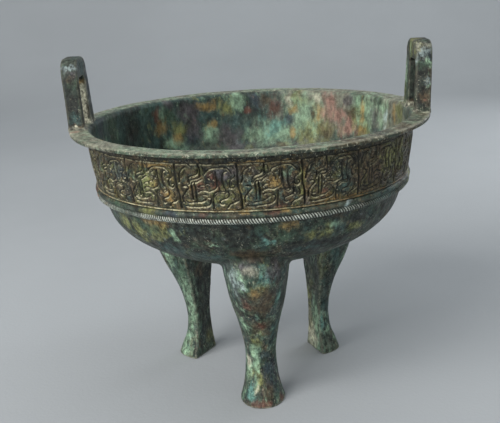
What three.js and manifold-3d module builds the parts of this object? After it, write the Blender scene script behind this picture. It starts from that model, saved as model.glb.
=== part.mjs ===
// A round bronze ding: a hollow bowl on three legs, with a turned-out rim and two standing loop handles.
// Millimetres, +Z up. The origin is on the ground, under the middle of the bowl.
import * as THREE from "three";
import { mergeVertices } from "three/addons/utils/BufferGeometryUtils.js";
import Module from "manifold-3d";

const wasm = await Module();
wasm.setup();

// Driving dimensions: the bowl and its rim
const rimDiameter = 250;
const rimHeight = 190;
const lipThickness = 2.6;
const flangeWidth = 11.1;
const wallThickness = 3;
const bowlDiameter = 206;
const bowlShoulderHeight = 139;
const bowlDepth = 48;
const aroundSegments = 60;

// Driving dimensions: the mouldings between the bowl and the neck
const neckFootRadius = 109.8;
const neckTopRadius = 113.3;
const ropeHeight = 144.6;
const ropeThickness = 3.4;
const smoothBandTop = 150.2;
const smoothBandSwell = 0.8;
const coveReach = 3.9;
const coveFade = 4;

// Driving dimensions: the standing handles
const handleHeight = 47;
const handleFootWidth = 42;
const handleTopWidth = 33.5;
const handleFootThickness = 10.8;
const handleTopThickness = 11.4;
const handleOutwardLean = 2.2;
const handleCorner = 9;
const handleSkew = 0.028;
const slotWidth = 19;
const slotHeight = 34;
const slotCorner = 3.5;
const slotOffset = 4.5;

// Driving dimensions: the legs. Each was cast a little differently: its bearing from +X and its twist are in
// degrees, and its flat side faces the bowl's axis at a distance of its own.
const legTopHeight = 118;
const legs = [
  { bearing: -91, twist: 0, flatRadius: 50, widthShare: 1.05, depthShare: 1.02 },
  { bearing: 29.2, twist: -7, flatRadius: 47, widthShare: 0.93, depthShare: 0.9 },
  { bearing: 148.8, twist: 0, flatRadius: 50.6, widthShare: 0.98, depthShare: 1 },
];
const legSquareness = 2.25;

const rimRadius = rimDiameter / 2;
const flangeInnerRadius = rimRadius - flangeWidth;
const lipUnderside = rimHeight - lipThickness;
const bowlRadius = bowlDiameter / 2;
const neckFootHeight = smoothBandTop + 1.2;

const bronze = new THREE.MeshStandardMaterial({
  name: "patinated bronze",
  color: 0x4b5444,
  roughness: 0.62,
  metalness: 0.5,
});

// A closed geometry as a solid that can be joined and cut. Faces that shrink to a line on the axis are dropped.
function solidOf(geometry) {
  const bare = geometry.clone();
  bare.deleteAttribute("normal");
  bare.deleteAttribute("uv");
  const merged = mergeVertices(bare, 1e-3);
  const index = merged.index.array;
  const triangles = [];
  for (let i = 0; i < index.length; i += 3) {
    const [a, b, c] = [index[i], index[i + 1], index[i + 2]];
    if (a !== b && b !== c && c !== a) triangles.push(a, b, c);
  }
  return new wasm.Manifold(
    new wasm.Mesh({
      numProp: 3,
      vertProperties: merged.attributes.position.array,
      triVerts: new Uint32Array(triangles),
    }),
  );
}

function geometryOf(solid) {
  const mesh = solid.getMesh();
  const geometry = new THREE.BufferGeometry();
  geometry.setAttribute("position", new THREE.BufferAttribute(new Float32Array(mesh.vertProperties), 3));
  geometry.setIndex(new THREE.BufferAttribute(new Uint32Array(mesh.triVerts), 1));
  geometry.computeVertexNormals();
  return geometry;
}

// The quarter ellipse of the bowl's underside, from its lowest point on the axis out to the shoulder.
function bowlQuarter(radius, depth, steps) {
  const points = [];
  for (let i = 0; i < steps; i++) {
    const angle = (i / steps) * (Math.PI / 2);
    points.push(new THREE.Vector2(radius * Math.sin(angle), bowlShoulderHeight - depth * Math.cos(angle)));
  }
  return points;
}

// The neck's outer radius: it widens quickly above the mouldings and stands nearly upright under the rim.
function neckRadius(z) {
  const share = THREE.MathUtils.clamp((z - neckFootHeight) / (lipUnderside - neckFootHeight), 0, 1);
  return neckFootRadius + (neckTopRadius - neckFootRadius) * Math.sin((share * Math.PI) / 2);
}

// The bowl's outer radius just under the rope, where a small cove leads out to it.
function coveRadius(z) {
  const ropeFoot = ropeHeight - ropeThickness / 2;
  return bowlRadius + coveReach * Math.exp((z - ropeFoot) / coveFade);
}

function arcPoints(radius, centre, from, to, steps) {
  const points = [];
  for (let i = 0; i <= steps; i++) {
    const angle = THREE.MathUtils.degToRad(from + ((to - from) * i) / steps);
    points.push(new THREE.Vector2(centre.x + radius * Math.cos(angle), centre.y + radius * Math.sin(angle)));
  }
  return points;
}

// Outline of the whole outside, from the lowest point up to the rim and back to the axis across the mouth.
function outsideProfile() {
  const points = bowlQuarter(bowlRadius, bowlDepth, 12);
  for (const z of [bowlShoulderHeight - 1.5, bowlShoulderHeight + 1, bowlShoulderHeight + 2.8]) {
    points.push(new THREE.Vector2(coveRadius(z), z));
  }
  const ropeCentre = new THREE.Vector2(neckFootRadius - 1.2, ropeHeight);
  points.push(...arcPoints(ropeThickness / 2, ropeCentre, -80, 72, 5));
  const bandFoot = ropeHeight + ropeThickness / 2 + 0.2;
  for (let i = 0; i <= 3; i++) {
    const share = i / 3;
    const z = bandFoot + (smoothBandTop - bandFoot) * share;
    points.push(new THREE.Vector2(neckFootRadius + smoothBandSwell * Math.sin(share * Math.PI), z));
  }
  points.push(new THREE.Vector2(neckFootRadius + smoothBandSwell, smoothBandTop + 0.3));
  points.push(new THREE.Vector2(neckFootRadius + smoothBandSwell, smoothBandTop + 0.9));
  for (let i = 0; i <= 5; i++) {
    const z = neckFootHeight + ((lipUnderside - 1 - neckFootHeight) * i) / 5;
    points.push(new THREE.Vector2(neckRadius(z), z));
  }
  points.push(new THREE.Vector2(neckTopRadius + 1.2, lipUnderside));
  points.push(new THREE.Vector2(rimRadius - 0.6, lipUnderside));
  points.push(new THREE.Vector2(rimRadius, lipUnderside + 0.6));
  points.push(new THREE.Vector2(rimRadius, rimHeight - 0.6));
  points.push(new THREE.Vector2(rimRadius - 0.6, rimHeight));
  points.push(new THREE.Vector2(0, rimHeight));
  return points;
}

// Outline of the space inside: parallel to the outside, one wall thickness in, and flared into the rim.
function insideProfile() {
  const points = bowlQuarter(bowlRadius - wallThickness, bowlDepth - wallThickness, 12);
  points.push(new THREE.Vector2(bowlRadius - wallThickness, bowlShoulderHeight));
  for (let i = 0; i <= 4; i++) {
    const z = neckFootHeight + ((lipUnderside - 2 - neckFootHeight) * i) / 4;
    points.push(new THREE.Vector2(neckRadius(z) - wallThickness, z));
  }
  const throat = neckRadius(lipUnderside) - wallThickness;
  const flare = flangeInnerRadius - throat;
  const flareStart = rimHeight - flare;
  points.push(...arcPoints(flare, new THREE.Vector2(flangeInnerRadius, flareStart), 180, 90, 4));
  points.push(new THREE.Vector2(flangeInnerRadius, rimHeight + 1));
  points.push(new THREE.Vector2(0, rimHeight + 1));
  return points;
}

function turned(profile) {
  return solidOf(new THREE.LatheGeometry(profile, aroundSegments).rotateX(Math.PI / 2));
}

// The leg's depth behind its flat side and its half width, as smooth curves over its height.
const legDepth = new THREE.SplineCurve([
  new THREE.Vector2(0, 22.4),
  new THREE.Vector2(8, 19),
  new THREE.Vector2(20, 14.4),
  new THREE.Vector2(36, 13.4),
  new THREE.Vector2(55, 18.4),
  new THREE.Vector2(76, 30.4),
  new THREE.Vector2(97, 40.4),
  new THREE.Vector2(108, 41.4),
  new THREE.Vector2(legTopHeight, 35.4),
]);
const legHalfWidth = new THREE.SplineCurve([
  new THREE.Vector2(0, 15.1),
  new THREE.Vector2(8, 12.9),
  new THREE.Vector2(20, 10.8),
  new THREE.Vector2(36, 10.2),
  new THREE.Vector2(55, 13.2),
  new THREE.Vector2(76, 18.2),
  new THREE.Vector2(97, 21.4),
  new THREE.Vector2(108, 22),
  new THREE.Vector2(legTopHeight, 22),
]);

// A rounding factor between a circle's and a square's, which keeps the sign.
function squared(value) {
  return Math.sign(value) * Math.abs(value) ** (2 / legSquareness);
}

// A D section: flat towards the bowl's axis and rounded outwards, from the middle of the flat side.
function legSection(shape, share, arcSteps) {
  const depth = legDepth.getPoint(share);
  const halfWidth = legHalfWidth.getPoint(share).y * shape.widthShare;
  const points = [];
  for (let i = 0; i <= arcSteps; i++) {
    const angle = -Math.PI / 2 + (Math.PI * i) / arcSteps;
    const outwards = depth.y * shape.depthShare * squared(Math.cos(angle));
    points.push(new THREE.Vector3(outwards, halfWidth * squared(Math.sin(angle)), depth.x));
  }
  return points;
}

// A closed body through rings of points that all turn the same way, with a fan over each end.
function lofted(rings) {
  const count = rings[0].length;
  const positions = rings.flat().flatMap((point) => [point.x, point.y, point.z]);
  const indices = [];
  for (let level = 0; level + 1 < rings.length; level++) {
    for (let i = 0; i < count; i++) {
      const next = (i + 1) % count;
      const low = level * count;
      const high = low + count;
      indices.push(low + i, low + next, high + next);
      indices.push(low + i, high + next, high + i);
    }
  }
  const top = (rings.length - 1) * count;
  for (let i = 1; i + 1 < count; i++) {
    indices.push(0, i + 1, i);
    indices.push(top, top + i, top + i + 1);
  }
  const geometry = new THREE.BufferGeometry();
  geometry.setAttribute("position", new THREE.Float32BufferAttribute(positions, 3));
  geometry.setIndex(indices);
  return geometry;
}

function leg(shape) {
  const levels = 16;
  const rings = [];
  for (let i = 0; i <= levels; i++) rings.push(legSection(shape, i / levels, 12));
  const body = lofted(rings).rotateZ(THREE.MathUtils.degToRad(shape.twist));
  body.translate(shape.flatRadius, 0, 0);
  return solidOf(body.rotateZ(THREE.MathUtils.degToRad(shape.bearing)));
}

// The handle's outline seen from the bowl's axis: an upside-down U with rounded corners outside and inside.
function handleOutline(sink, middle) {
  const foot = handleFootWidth / 2;
  const top = handleTopWidth / 2;
  const slot = slotWidth / 2;
  const round = slot - slotCorner;
  const slotSpring = slotHeight - slotCorner;
  const shape = new THREE.Shape();
  shape.moveTo(foot, -sink);
  shape.lineTo(top, handleHeight - handleCorner);
  shape.absarc(top - handleCorner, handleHeight - handleCorner, handleCorner, 0, Math.PI / 2, false);
  shape.absarc(handleCorner - top, handleHeight - handleCorner, handleCorner, Math.PI / 2, Math.PI, false);
  shape.lineTo(-foot, -sink);
  shape.lineTo(middle - slot, -sink);
  shape.absarc(middle - round, slotSpring, slotCorner, Math.PI, Math.PI / 2, true);
  shape.absarc(middle + round, slotSpring, slotCorner, Math.PI / 2, 0, true);
  shape.lineTo(middle + slot, -sink);
  return shape;
}

// The outline is given its thickness outwards across the rim, leaning out a little towards its top. On both
// handles the slot lies towards the front leg, and the inner face is turned a little that way.
function handle(turn) {
  const sink = 2.2;
  const frontwards = turn === 0 ? -1 : 1;
  const outline = handleOutline(sink, frontwards * slotOffset);
  const plate = new THREE.ExtrudeGeometry(outline, { depth: 1, bevelEnabled: false, curveSegments: 8 });
  const footRadius = rimRadius - 1.9 - handleFootThickness;
  const position = plate.getAttribute("position");
  for (let i = 0; i < position.count; i++) {
    const height = position.getY(i);
    const share = height / handleHeight;
    const thickness = THREE.MathUtils.lerp(handleFootThickness, handleTopThickness, share);
    const turned = frontwards * handleSkew * position.getX(i);
    const radius = footRadius + handleOutwardLean * share + turned + thickness * position.getZ(i);
    position.setXYZ(i, radius, position.getX(i), rimHeight + height);
  }
  return solidOf(plate.rotateZ(turn));
}

function vessel() {
  let body = turned(outsideProfile());
  for (const shape of legs) body = body.add(leg(shape));
  body = body.subtract(turned(insideProfile()));
  for (const turn of [0, Math.PI]) body = body.add(handle(turn));
  const mesh = new THREE.Mesh(geometryOf(body), bronze);
  mesh.name = "ding_vessel";
  return mesh;
}

const ding = new THREE.Group();
ding.add(vessel());

export default ding;
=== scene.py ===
"""A round bronze ding on three legs, with a cast pattern band, a rope moulding and two standing handles.

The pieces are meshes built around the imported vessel, in its own frame. Lengths in the functions are in
millimetres, +Z up, with the origin on the ground under the middle of the bowl. Blender's own are in metres.
"""

import math
from collections import namedtuple

import bpy
import numpy as np
from mathutils import Matrix, Vector


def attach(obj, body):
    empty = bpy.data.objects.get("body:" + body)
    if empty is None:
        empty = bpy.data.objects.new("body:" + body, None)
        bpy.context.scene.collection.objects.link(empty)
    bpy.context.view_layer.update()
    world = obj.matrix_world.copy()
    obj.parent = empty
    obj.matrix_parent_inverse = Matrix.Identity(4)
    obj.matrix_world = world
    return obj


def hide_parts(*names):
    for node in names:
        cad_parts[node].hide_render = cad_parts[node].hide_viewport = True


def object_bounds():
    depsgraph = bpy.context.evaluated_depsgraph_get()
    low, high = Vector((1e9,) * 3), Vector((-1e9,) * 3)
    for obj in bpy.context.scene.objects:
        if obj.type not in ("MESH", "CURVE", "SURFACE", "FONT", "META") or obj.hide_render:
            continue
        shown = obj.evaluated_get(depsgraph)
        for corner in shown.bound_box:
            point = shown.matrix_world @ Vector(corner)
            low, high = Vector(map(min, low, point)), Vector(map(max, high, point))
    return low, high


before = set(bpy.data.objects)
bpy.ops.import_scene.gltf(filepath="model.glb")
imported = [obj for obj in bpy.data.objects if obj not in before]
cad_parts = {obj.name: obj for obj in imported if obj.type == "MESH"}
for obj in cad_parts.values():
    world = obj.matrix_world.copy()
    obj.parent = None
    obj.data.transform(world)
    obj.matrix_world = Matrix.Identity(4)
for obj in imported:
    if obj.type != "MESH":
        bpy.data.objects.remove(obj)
CAD_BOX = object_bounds()

bl_info = {
    "name": "Bronze ding",
    "version": (1, 0, 0),
    "blender": (4, 5, 0),
    "location": "View3D > Sidebar > Ding",
    "description": "Builds a patinated bronze ding with its pattern band, mouldings, handles and legs",
    "category": "Add Mesh",
}

MM = 0.001
NODE = "ding_vessel"
BODY = "root"


# Helpers for shapes

def smooth_through(points, steps):
    """A smooth curve through the given points, steps to each stretch between two of them."""
    p = np.asarray(points, float)
    p = np.vstack([p[0], p, p[-1]])
    t = np.linspace(0, 1, steps, endpoint=False)[:, None]
    parts = []
    for a, b, c, d in zip(p[:-3], p[1:-2], p[2:-1], p[3:]):
        bend = (2 * a - 5 * b + 4 * c - d) * t ** 2 + (3 * b - a - 3 * c + d) * t ** 3
        parts.append(0.5 * (2 * b + (c - a) * t + bend))
    return np.vstack(parts + [p[-1:]])


def smooth_step(x):
    x = np.clip(x, 0, 1)
    return x * x * (3 - 2 * x)


def lattice_noise(points, seed):
    """Smooth gradient noise between about -1 and 1, one lattice cell to each unit."""
    random = np.random.default_rng(seed)
    order = random.permutation(256)
    order = np.concatenate([order, order])
    slopes = random.normal(size=(256, 3))
    slopes /= np.linalg.norm(slopes, axis=1)[:, None]
    cell = np.floor(points).astype(int)
    inside = points - cell
    cell &= 255
    ease = inside ** 3 * (inside * (inside * 6 - 15) + 10)
    total = np.zeros(len(points))
    for corner in np.ndindex(2, 2, 2):
        i, j, k = ((cell + corner) & 255).T
        slope = slopes[order[order[order[i] + j] + k]]
        weight = np.prod(np.where(corner, ease, 1 - ease), axis=1)
        total += weight * np.sum(slope * (inside - corner), axis=1)
    return total * 1.6


def layered_noise(points, wavelength, layers, seed):
    """Noise of several sizes added up, each layer half as long and half as strong as the last."""
    total = np.zeros(len(points))
    for layer in range(layers):
        total += lattice_noise(points / wavelength * 2 ** layer + 31.7, seed + layer) / 2 ** layer
    return total


def smooth_union(a, b, reach):
    share = np.clip(0.5 + 0.5 * (b - a) / reach, 0, 1)
    return b + (a - b) * share - reach * share * (1 - share)


def smooth_cut(a, b, reach):
    """The common part of two solids, given as distances, with the edge between them rounded."""
    return -smooth_union(-a, -b, reach)


def slopes_of(distance, points, step=0.05):
    """How a distance field rises along X, Y and Z."""
    rises = []
    for axis in range(3):
        shift = np.zeros(3)
        shift[axis] = step
        rises.append((distance(points + shift) - distance(points - shift)) / (2 * step))
    return np.stack(rises, axis=1)


def normals_of(distance, points):
    rise = slopes_of(distance, points)
    return rise / np.maximum(np.linalg.norm(rise, axis=1), 1e-6)[:, None]


def bulge_of(distance, points, step):
    """How sharply the surface turns outwards, in 1/mm: positive on ridges and negative in hollows."""
    total = -6 * distance(points)
    for axis in range(3):
        shift = np.zeros(3)
        shift[axis] = step
        total += distance(points + shift) + distance(points - shift)
    return total / step ** 2


CELL_EDGES = [(a, b) for a in range(8) for b in range(a + 1, 8) if bin(a ^ b).count("1") == 1]


def net_over(distance, low, high, step):
    """Points and quads over the zero level of a distance field inside a box: one point in each cell that the
    level crosses, then drawn onto the level itself."""
    counts = np.ceil((np.asarray(high) - low) / step).astype(int) + 1
    axes = [low[i] + step * np.arange(counts[i]) for i in range(3)]
    field = np.empty(counts, np.float32)
    flat = np.stack(np.meshgrid(axes[0], axes[1], indexing="ij"), axis=-1).reshape(-1, 2)
    for k, z in enumerate(axes[2]):
        field[:, :, k] = distance(np.column_stack([flat, np.full(len(flat), z)])).reshape(counts[:2])
    solid = field < 0
    corners = [np.array([c >> 2 & 1, c >> 1 & 1, c & 1]) for c in range(8)]
    filled = sum(solid[c[0]:counts[0] - 1 + c[0], c[1]:counts[1] - 1 + c[1],
                       c[2]:counts[2] - 1 + c[2]].astype(np.uint8) for c in corners)
    crossed = (filled > 0) & (filled < 8)
    cells = np.argwhere(crossed)
    number = np.full(crossed.shape, -1, np.int32)
    number[crossed] = np.arange(len(cells))
    values = np.stack([field[tuple((cells + c).T)] for c in corners], axis=1)
    total = np.zeros((len(cells), 3))
    hits = np.zeros(len(cells))
    for a, b in CELL_EDGES:
        cut = (values[:, a] < 0) != (values[:, b] < 0)
        share = values[:, a] / np.where(cut, values[:, a] - values[:, b], 1)
        total[cut] += (corners[a] + share[:, None] * (corners[b] - corners[a]))[cut]
        hits += cut
    points = low + step * (cells + total / hits[:, None])
    quads = []
    for axis in range(3):
        side, over = (axis + 1) % 3, (axis + 2) % 3
        lower = [slice(1, -1)] * 3
        upper = [slice(1, -1)] * 3
        lower[axis] = slice(0, -1)
        upper[axis] = slice(1, None)
        change = solid[tuple(lower)].astype(np.int8) - solid[tuple(upper)].astype(np.int8)
        at = np.argwhere(change != 0)
        outwards = change[change != 0] > 0
        at[:, side] += 1
        at[:, over] += 1
        ring = []
        for back_side, back_over in ((1, 1), (0, 1), (0, 0), (1, 0)):
            cell = at.copy()
            cell[:, side] -= back_side
            cell[:, over] -= back_over
            ring.append(number[tuple(cell.T)])
        ring = np.stack(ring, axis=1)
        ring[~outwards] = ring[~outwards][:, ::-1]
        quads.append(ring)
    for _ in range(3):
        rise = slopes_of(distance, points)
        steep = np.maximum(np.sum(rise ** 2, axis=1), 0.2)
        move = rise * (distance(points) / steep)[:, None]
        points -= np.clip(move, -0.5 * step, 0.5 * step)
    return points, np.vstack(quads)


def grid_quads(rows, columns, first=0, closed=True):
    """Quads between neighbouring rows of points, each row joined to itself where closed."""
    spans = columns if closed else columns - 1
    row, column = np.meshgrid(np.arange(rows - 1), np.arange(spans), indexing="ij")
    following = (column + 1) % columns
    quads = [row * columns + column, row * columns + following,
             (row + 1) * columns + following, (row + 1) * columns + column]
    return np.stack(quads, axis=-1).reshape(-1, 4) + first


def looped_quads(rows, columns):
    """Quads between neighbouring rows of points, and between the last row and the first."""
    seam = grid_quads(2, columns)
    last = (rows - 1) * columns
    seam = np.where(seam >= columns, seam - columns, seam + last)
    return np.vstack([grid_quads(rows, columns), seam])


def faced_out(points, faces):
    """The faces, all turned round if the closed body they make is inside out."""
    volume = 0.0
    for group in faces:
        for i in range(1, group.shape[1] - 1):
            a, b, c = points[group[:, 0]], points[group[:, i]], points[group[:, i + 1]]
            volume += np.einsum("ij,ij->", a, np.cross(b, c))
    return faces if volume > 0 else [group[:, ::-1] for group in faces]


def add_piece(name, points, faces, material, marks, sharp_angle=60):
    """A mesh piece of the vessel. marks are values for each point that its material reads by name, such as
    how deep the point lies or how near it is to a stain."""
    faces = faced_out(points, faces)
    corners = np.concatenate([group.ravel() for group in faces]).astype(np.int32)
    sizes = np.concatenate([np.full(len(group), group.shape[1]) for group in faces])
    starts = np.concatenate([[0], np.cumsum(sizes)[:-1]]).astype(np.int32)
    mesh = bpy.data.meshes.new(name)
    mesh.vertices.add(len(points))
    mesh.vertices.foreach_set("co", (points * MM).astype(np.float32).ravel())
    mesh.loops.add(len(corners))
    mesh.loops.foreach_set("vertex_index", corners)
    mesh.polygons.add(len(sizes))
    mesh.polygons.foreach_set("loop_start", starts)
    mesh.update(calc_edges=True)
    if mesh.validate():
        raise RuntimeError(f"{name}: its faces don't make a sound mesh")
    mesh.shade_smooth()
    mesh.set_sharp_from_angle(angle=math.radians(sharp_angle))
    for label, values in marks.items():
        attribute = mesh.attributes.new(label, "FLOAT", "POINT")
        shown = np.zeros(len(points))
        shown[:len(values)] = np.clip(values, 0, 1)
        attribute.data.foreach_set("value", shown.astype(np.float32))
    mesh.materials.append(material)
    piece = bpy.data.objects.new(name, mesh)
    bpy.context.scene.collection.objects.link(piece)
    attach(piece, BODY)
    return piece


def turned_points(profile, azimuths):
    """The points of a profile of (radius, height) turned round the axis, profile row by row."""
    radius, height = np.asarray(profile, float).T
    across = radius[:, None] * np.cos(azimuths)
    along = radius[:, None] * np.sin(azimuths)
    return np.stack([across, along, np.broadcast_to(height[:, None], across.shape)], axis=-1)


def profile_normals(profile, azimuths):
    """The outward directions of a turned profile, for a profile that runs with the solid on its left."""
    run = np.gradient(np.asarray(profile, float), axis=0)
    run /= np.maximum(np.linalg.norm(run, axis=1), 1e-9)[:, None]
    return turned_points(np.column_stack([run[:, 1], -run[:, 0]]), azimuths)


def arc(centre, radius, start, end, steps):
    angles = np.radians(np.linspace(start, end, steps))
    return np.column_stack([centre[0] + radius * np.cos(angles), centre[1] + radius * np.sin(angles)])


# The vessel's sizes, as the solid has them, apart from the foot of the neck: the solid's is 109.8, and this
# one lies further in, for the notch that shows between the band and the mouldings

RIM_RADIUS = (CAD_BOX[1].y - CAD_BOX[0].y) / 2 / MM
RIM_HEIGHT = 190.0
LIP_UNDERSIDE = 187.4
FLANGE_INNER = 113.9
NECK_TOP_RADIUS = 113.3
WALL = 3.0
FLARE = FLANGE_INNER - NECK_TOP_RADIUS + WALL
LINING_INSET = 1.3
OUTER_INSET = 1.8
BOWL_RADIUS = 103.0
SHOULDER = 139.0
BOWL_DEPTH = 48.0
NECK_FOOT_RADIUS = 109.1
NECK_FOOT = 151.4
ROPE_HEIGHT = 144.6
ROPE_RADIUS = 1.7
ROPE_RING = NECK_FOOT_RADIUS - 0.6


class CastingSizes(bpy.types.PropertyGroup):
    """Sizes of the cast ornament and of the skin"""

    groove_depth: bpy.props.FloatProperty(
        name="Groove depth", description="How deep the pattern's lines are cut", default=0.0008, min=0.0,
        unit="LENGTH")
    groove_half_width: bpy.props.FloatProperty(
        name="Groove half width", description="From a groove's middle to its side", default=0.0004,
        min=0.0001, unit="LENGTH")
    ridge_height: bpy.props.FloatProperty(
        name="Ridge height", description="How far the figures stand out beside their grooves",
        default=0.00028, min=0.0, unit="LENGTH")
    rope_lays: bpy.props.IntProperty(
        name="Rope lays", description="Times that each strand winds round the rope", default=415, min=60)
    rope_strands: bpy.props.IntProperty(
        name="Rope strands", description="Strands in the rope moulding", default=3, min=2)
    lump_height: bpy.props.FloatProperty(
        name="Lump height", description="How uneven the cast skin is", default=0.00018, min=0.0,
        unit="LENGTH")


def neck_radius(z):
    share = np.clip((z - NECK_FOOT) / (LIP_UNDERSIDE - NECK_FOOT), 0, 1)
    return NECK_FOOT_RADIUS + (NECK_TOP_RADIUS - NECK_FOOT_RADIUS) * np.sin(share * math.pi / 2)


def cove_radius(z):
    """The outside just under the rope, where it curves out to carry it."""
    return BOWL_RADIUS + 3.9 * np.exp((z - (ROPE_HEIGHT - ROPE_RADIUS)) / 4)


def bowl_radius(z, inset=0.0):
    """The round underside's radius at a height, or with an inset the lining's."""
    drop = np.clip((SHOULDER - z) / (BOWL_DEPTH - inset), 0, 1)
    return (BOWL_RADIUS - inset) * np.sqrt(1 - drop ** 2)


def bowl_profile(angles, inset):
    """Radius and height along the round underside: 0 at its middle, a quarter turn at the shoulder."""
    radius, depth = BOWL_RADIUS - inset, BOWL_DEPTH - inset
    return np.column_stack([np.sin(angles) * radius, SHOULDER - np.cos(angles) * depth])


def lining_radius(z):
    heights = [SHOULDER, NECK_FOOT, LIP_UNDERSIDE]
    radii = [BOWL_RADIUS - WALL, NECK_FOOT_RADIUS - WALL, NECK_TOP_RADIUS - WALL]
    return np.interp(z, heights, radii) if z > SHOULDER else bowl_radius(z, WALL)


def casting():
    return bpy.context.scene.ding.casting


SPOT_WANDER = 2.4


def spot_marks(points, spots, radius_at=None):
    """For each shade, how near every point is to that shade's spots: 1 in the middle of one, 0.5 at its edge
    and 0 at twice its size. A spot is an azimuth in degrees, a height, half its width, half its height and,
    on the legs, the handles and the rim, its distance from the axis."""
    marks = {}
    wander = np.stack([layered_noise(points, 11, 3, seed) for seed in (91, 94, 97)], axis=1)
    points = points + SPOT_WANDER * wander
    for shade, places in spots.items():
        nearest = np.zeros(len(points))
        for azimuth, height, across, up, *out in places:
            radius = out[0] if out else radius_at(height)
            turn = math.radians(azimuth)
            middle = np.array([radius * math.cos(turn), radius * math.sin(turn), height])
            gap = np.linalg.norm((points - middle) / (across, across, up), axis=1)
            nearest = np.maximum(nearest, 1 - gap / 2)
        marks[f"{shade}_spots"] = nearest
    return marks


# How strongly something shows on each side, as (azimuth in degrees, value)

# On the band's ridges and the smooth band's line: wear, and a painted highlight that is strongest on the
# front and left, where the light falls
LIT_AND_WORN_SIDES = [(-180, 0.5), (-150, 0.8), (-126, 1.4), (-95, 1.1), (-75, 0.9), (-58, 0.5), (-44, 0.15),
              (-15, 0.2), (40, 0.8), (100, 0.6), (150, 0.8), (180, 0.5)]
EARTHY_SIDES = [(-180, 0.2), (-140, 0.5), (-110, 0.6), (-85, 1), (-45, 1), (-20, 0.6), (30, 0.4), (90, 0.9),
                (140, 0.4), (180, 0.2)]
GROOVE_SHARPNESS = [(-180, 1), (-75, 1), (-60, 0.8), (-48, 0.4), (-15, 0.4), (20, 0.8), (180, 1)]
EARTHY_BORDERS = [(-180, 0.3), (-114, 0.1), (-94, 0.3), (-82, 0.9), (-66, 0.9), (-56, 0), (-44, 0.2),
                  (-30, 0.7), (90, 0.7), (180, 0.3)]
# On the rope: how strongly its pale strand tops show, lime and a painted highlight that is strongest where
# the light falls
ROPE_SIDES = [(-180, 0.3), (-150, 0.5), (-125, 0.6), (-108, 1), (-66, 1), (-56, 0.6), (-46, 0.35),
              (-15, 0.2), (40, 0.6), (100, 0.4), (150, 0.6), (180, 0.2)]


def by_side(points, sides):
    """The value of one of the lists above at each point."""
    azimuth = np.degrees(np.arctan2(points[..., 1], points[..., 0]))
    return np.interp(azimuth, *np.transpose(sides))


STREWN_HALF_WIDTHS = (2.5, 7)
STREWN_HALF_HEIGHTS = (3, 9)


def strew(spots, shades, count, azimuths, heights, seed):
    """Adds spots on the parts that the picture hides, of the shades and sizes that it shows elsewhere."""
    random = np.random.default_rng(seed)
    for _ in range(count):
        shade = shades[random.integers(len(shades))]
        ranges = (azimuths, heights, STREWN_HALF_WIDTHS, STREWN_HALF_HEIGHTS)
        spots.setdefault(shade, []).append(tuple(random.uniform(*between) for between in ranges))


# The lining and the flat rim, turned in one

RIM_TOP_ROUND = 0.9
RIM_LOW_ROUND = 0.7
RIM_BENEATH = 112.4
NECK_BACK_INSET = 1.7
LINING_COLUMNS = 480


def lining_profile():
    """From the middle of the inside up over the rim and back down inside the wall: radius, height, and how
    much the surface may wander there."""
    quarter = math.pi / 2
    throat_heights = np.linspace(SHOULDER, NECK_FOOT, 8)[1:]
    ramp = smooth_step((throat_heights - SHOULDER) / (NECK_FOOT - SHOULDER))
    step_out = NECK_FOOT_RADIUS - BOWL_RADIUS
    neck_heights = np.linspace(NECK_FOOT, RIM_HEIGHT - FLARE, 26)[1:]
    flat_radii = np.linspace(FLANGE_INNER, RIM_RADIUS - RIM_TOP_ROUND, 9)[1:]
    under_radii = np.linspace(RIM_RADIUS - RIM_LOW_ROUND, RIM_BENEATH, 6)[1:]
    visible = np.vstack([
        bowl_profile(np.linspace(0, quarter, 34), WALL),
        np.column_stack([BOWL_RADIUS - WALL + step_out * ramp, throat_heights]),
        np.column_stack([neck_radius(neck_heights) - WALL, neck_heights]),
        arc((FLANGE_INNER, RIM_HEIGHT - FLARE), FLARE, 180, 90, 7)[1:],
        np.column_stack([flat_radii, np.full(len(flat_radii), RIM_HEIGHT)]),
        arc((RIM_RADIUS - RIM_TOP_ROUND, RIM_HEIGHT - RIM_TOP_ROUND), RIM_TOP_ROUND, 90, 0, 4)[1:],
        arc((RIM_RADIUS - RIM_LOW_ROUND, LIP_UNDERSIDE + RIM_LOW_ROUND), RIM_LOW_ROUND, 0, -90, 4),
        np.column_stack([under_radii, np.full(len(under_radii), LIP_UNDERSIDE)])])
    back_heights = np.array([186, 170, NECK_FOOT])
    hidden = np.vstack([np.column_stack([neck_radius(back_heights) - NECK_BACK_INSET, back_heights]),
                        bowl_profile(np.linspace(quarter, 0, 12), LINING_INSET)])
    wander = np.concatenate([np.ones(len(visible) - 3), np.zeros(3 + len(hidden))])
    return np.vstack([visible, hidden]), wander


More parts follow.
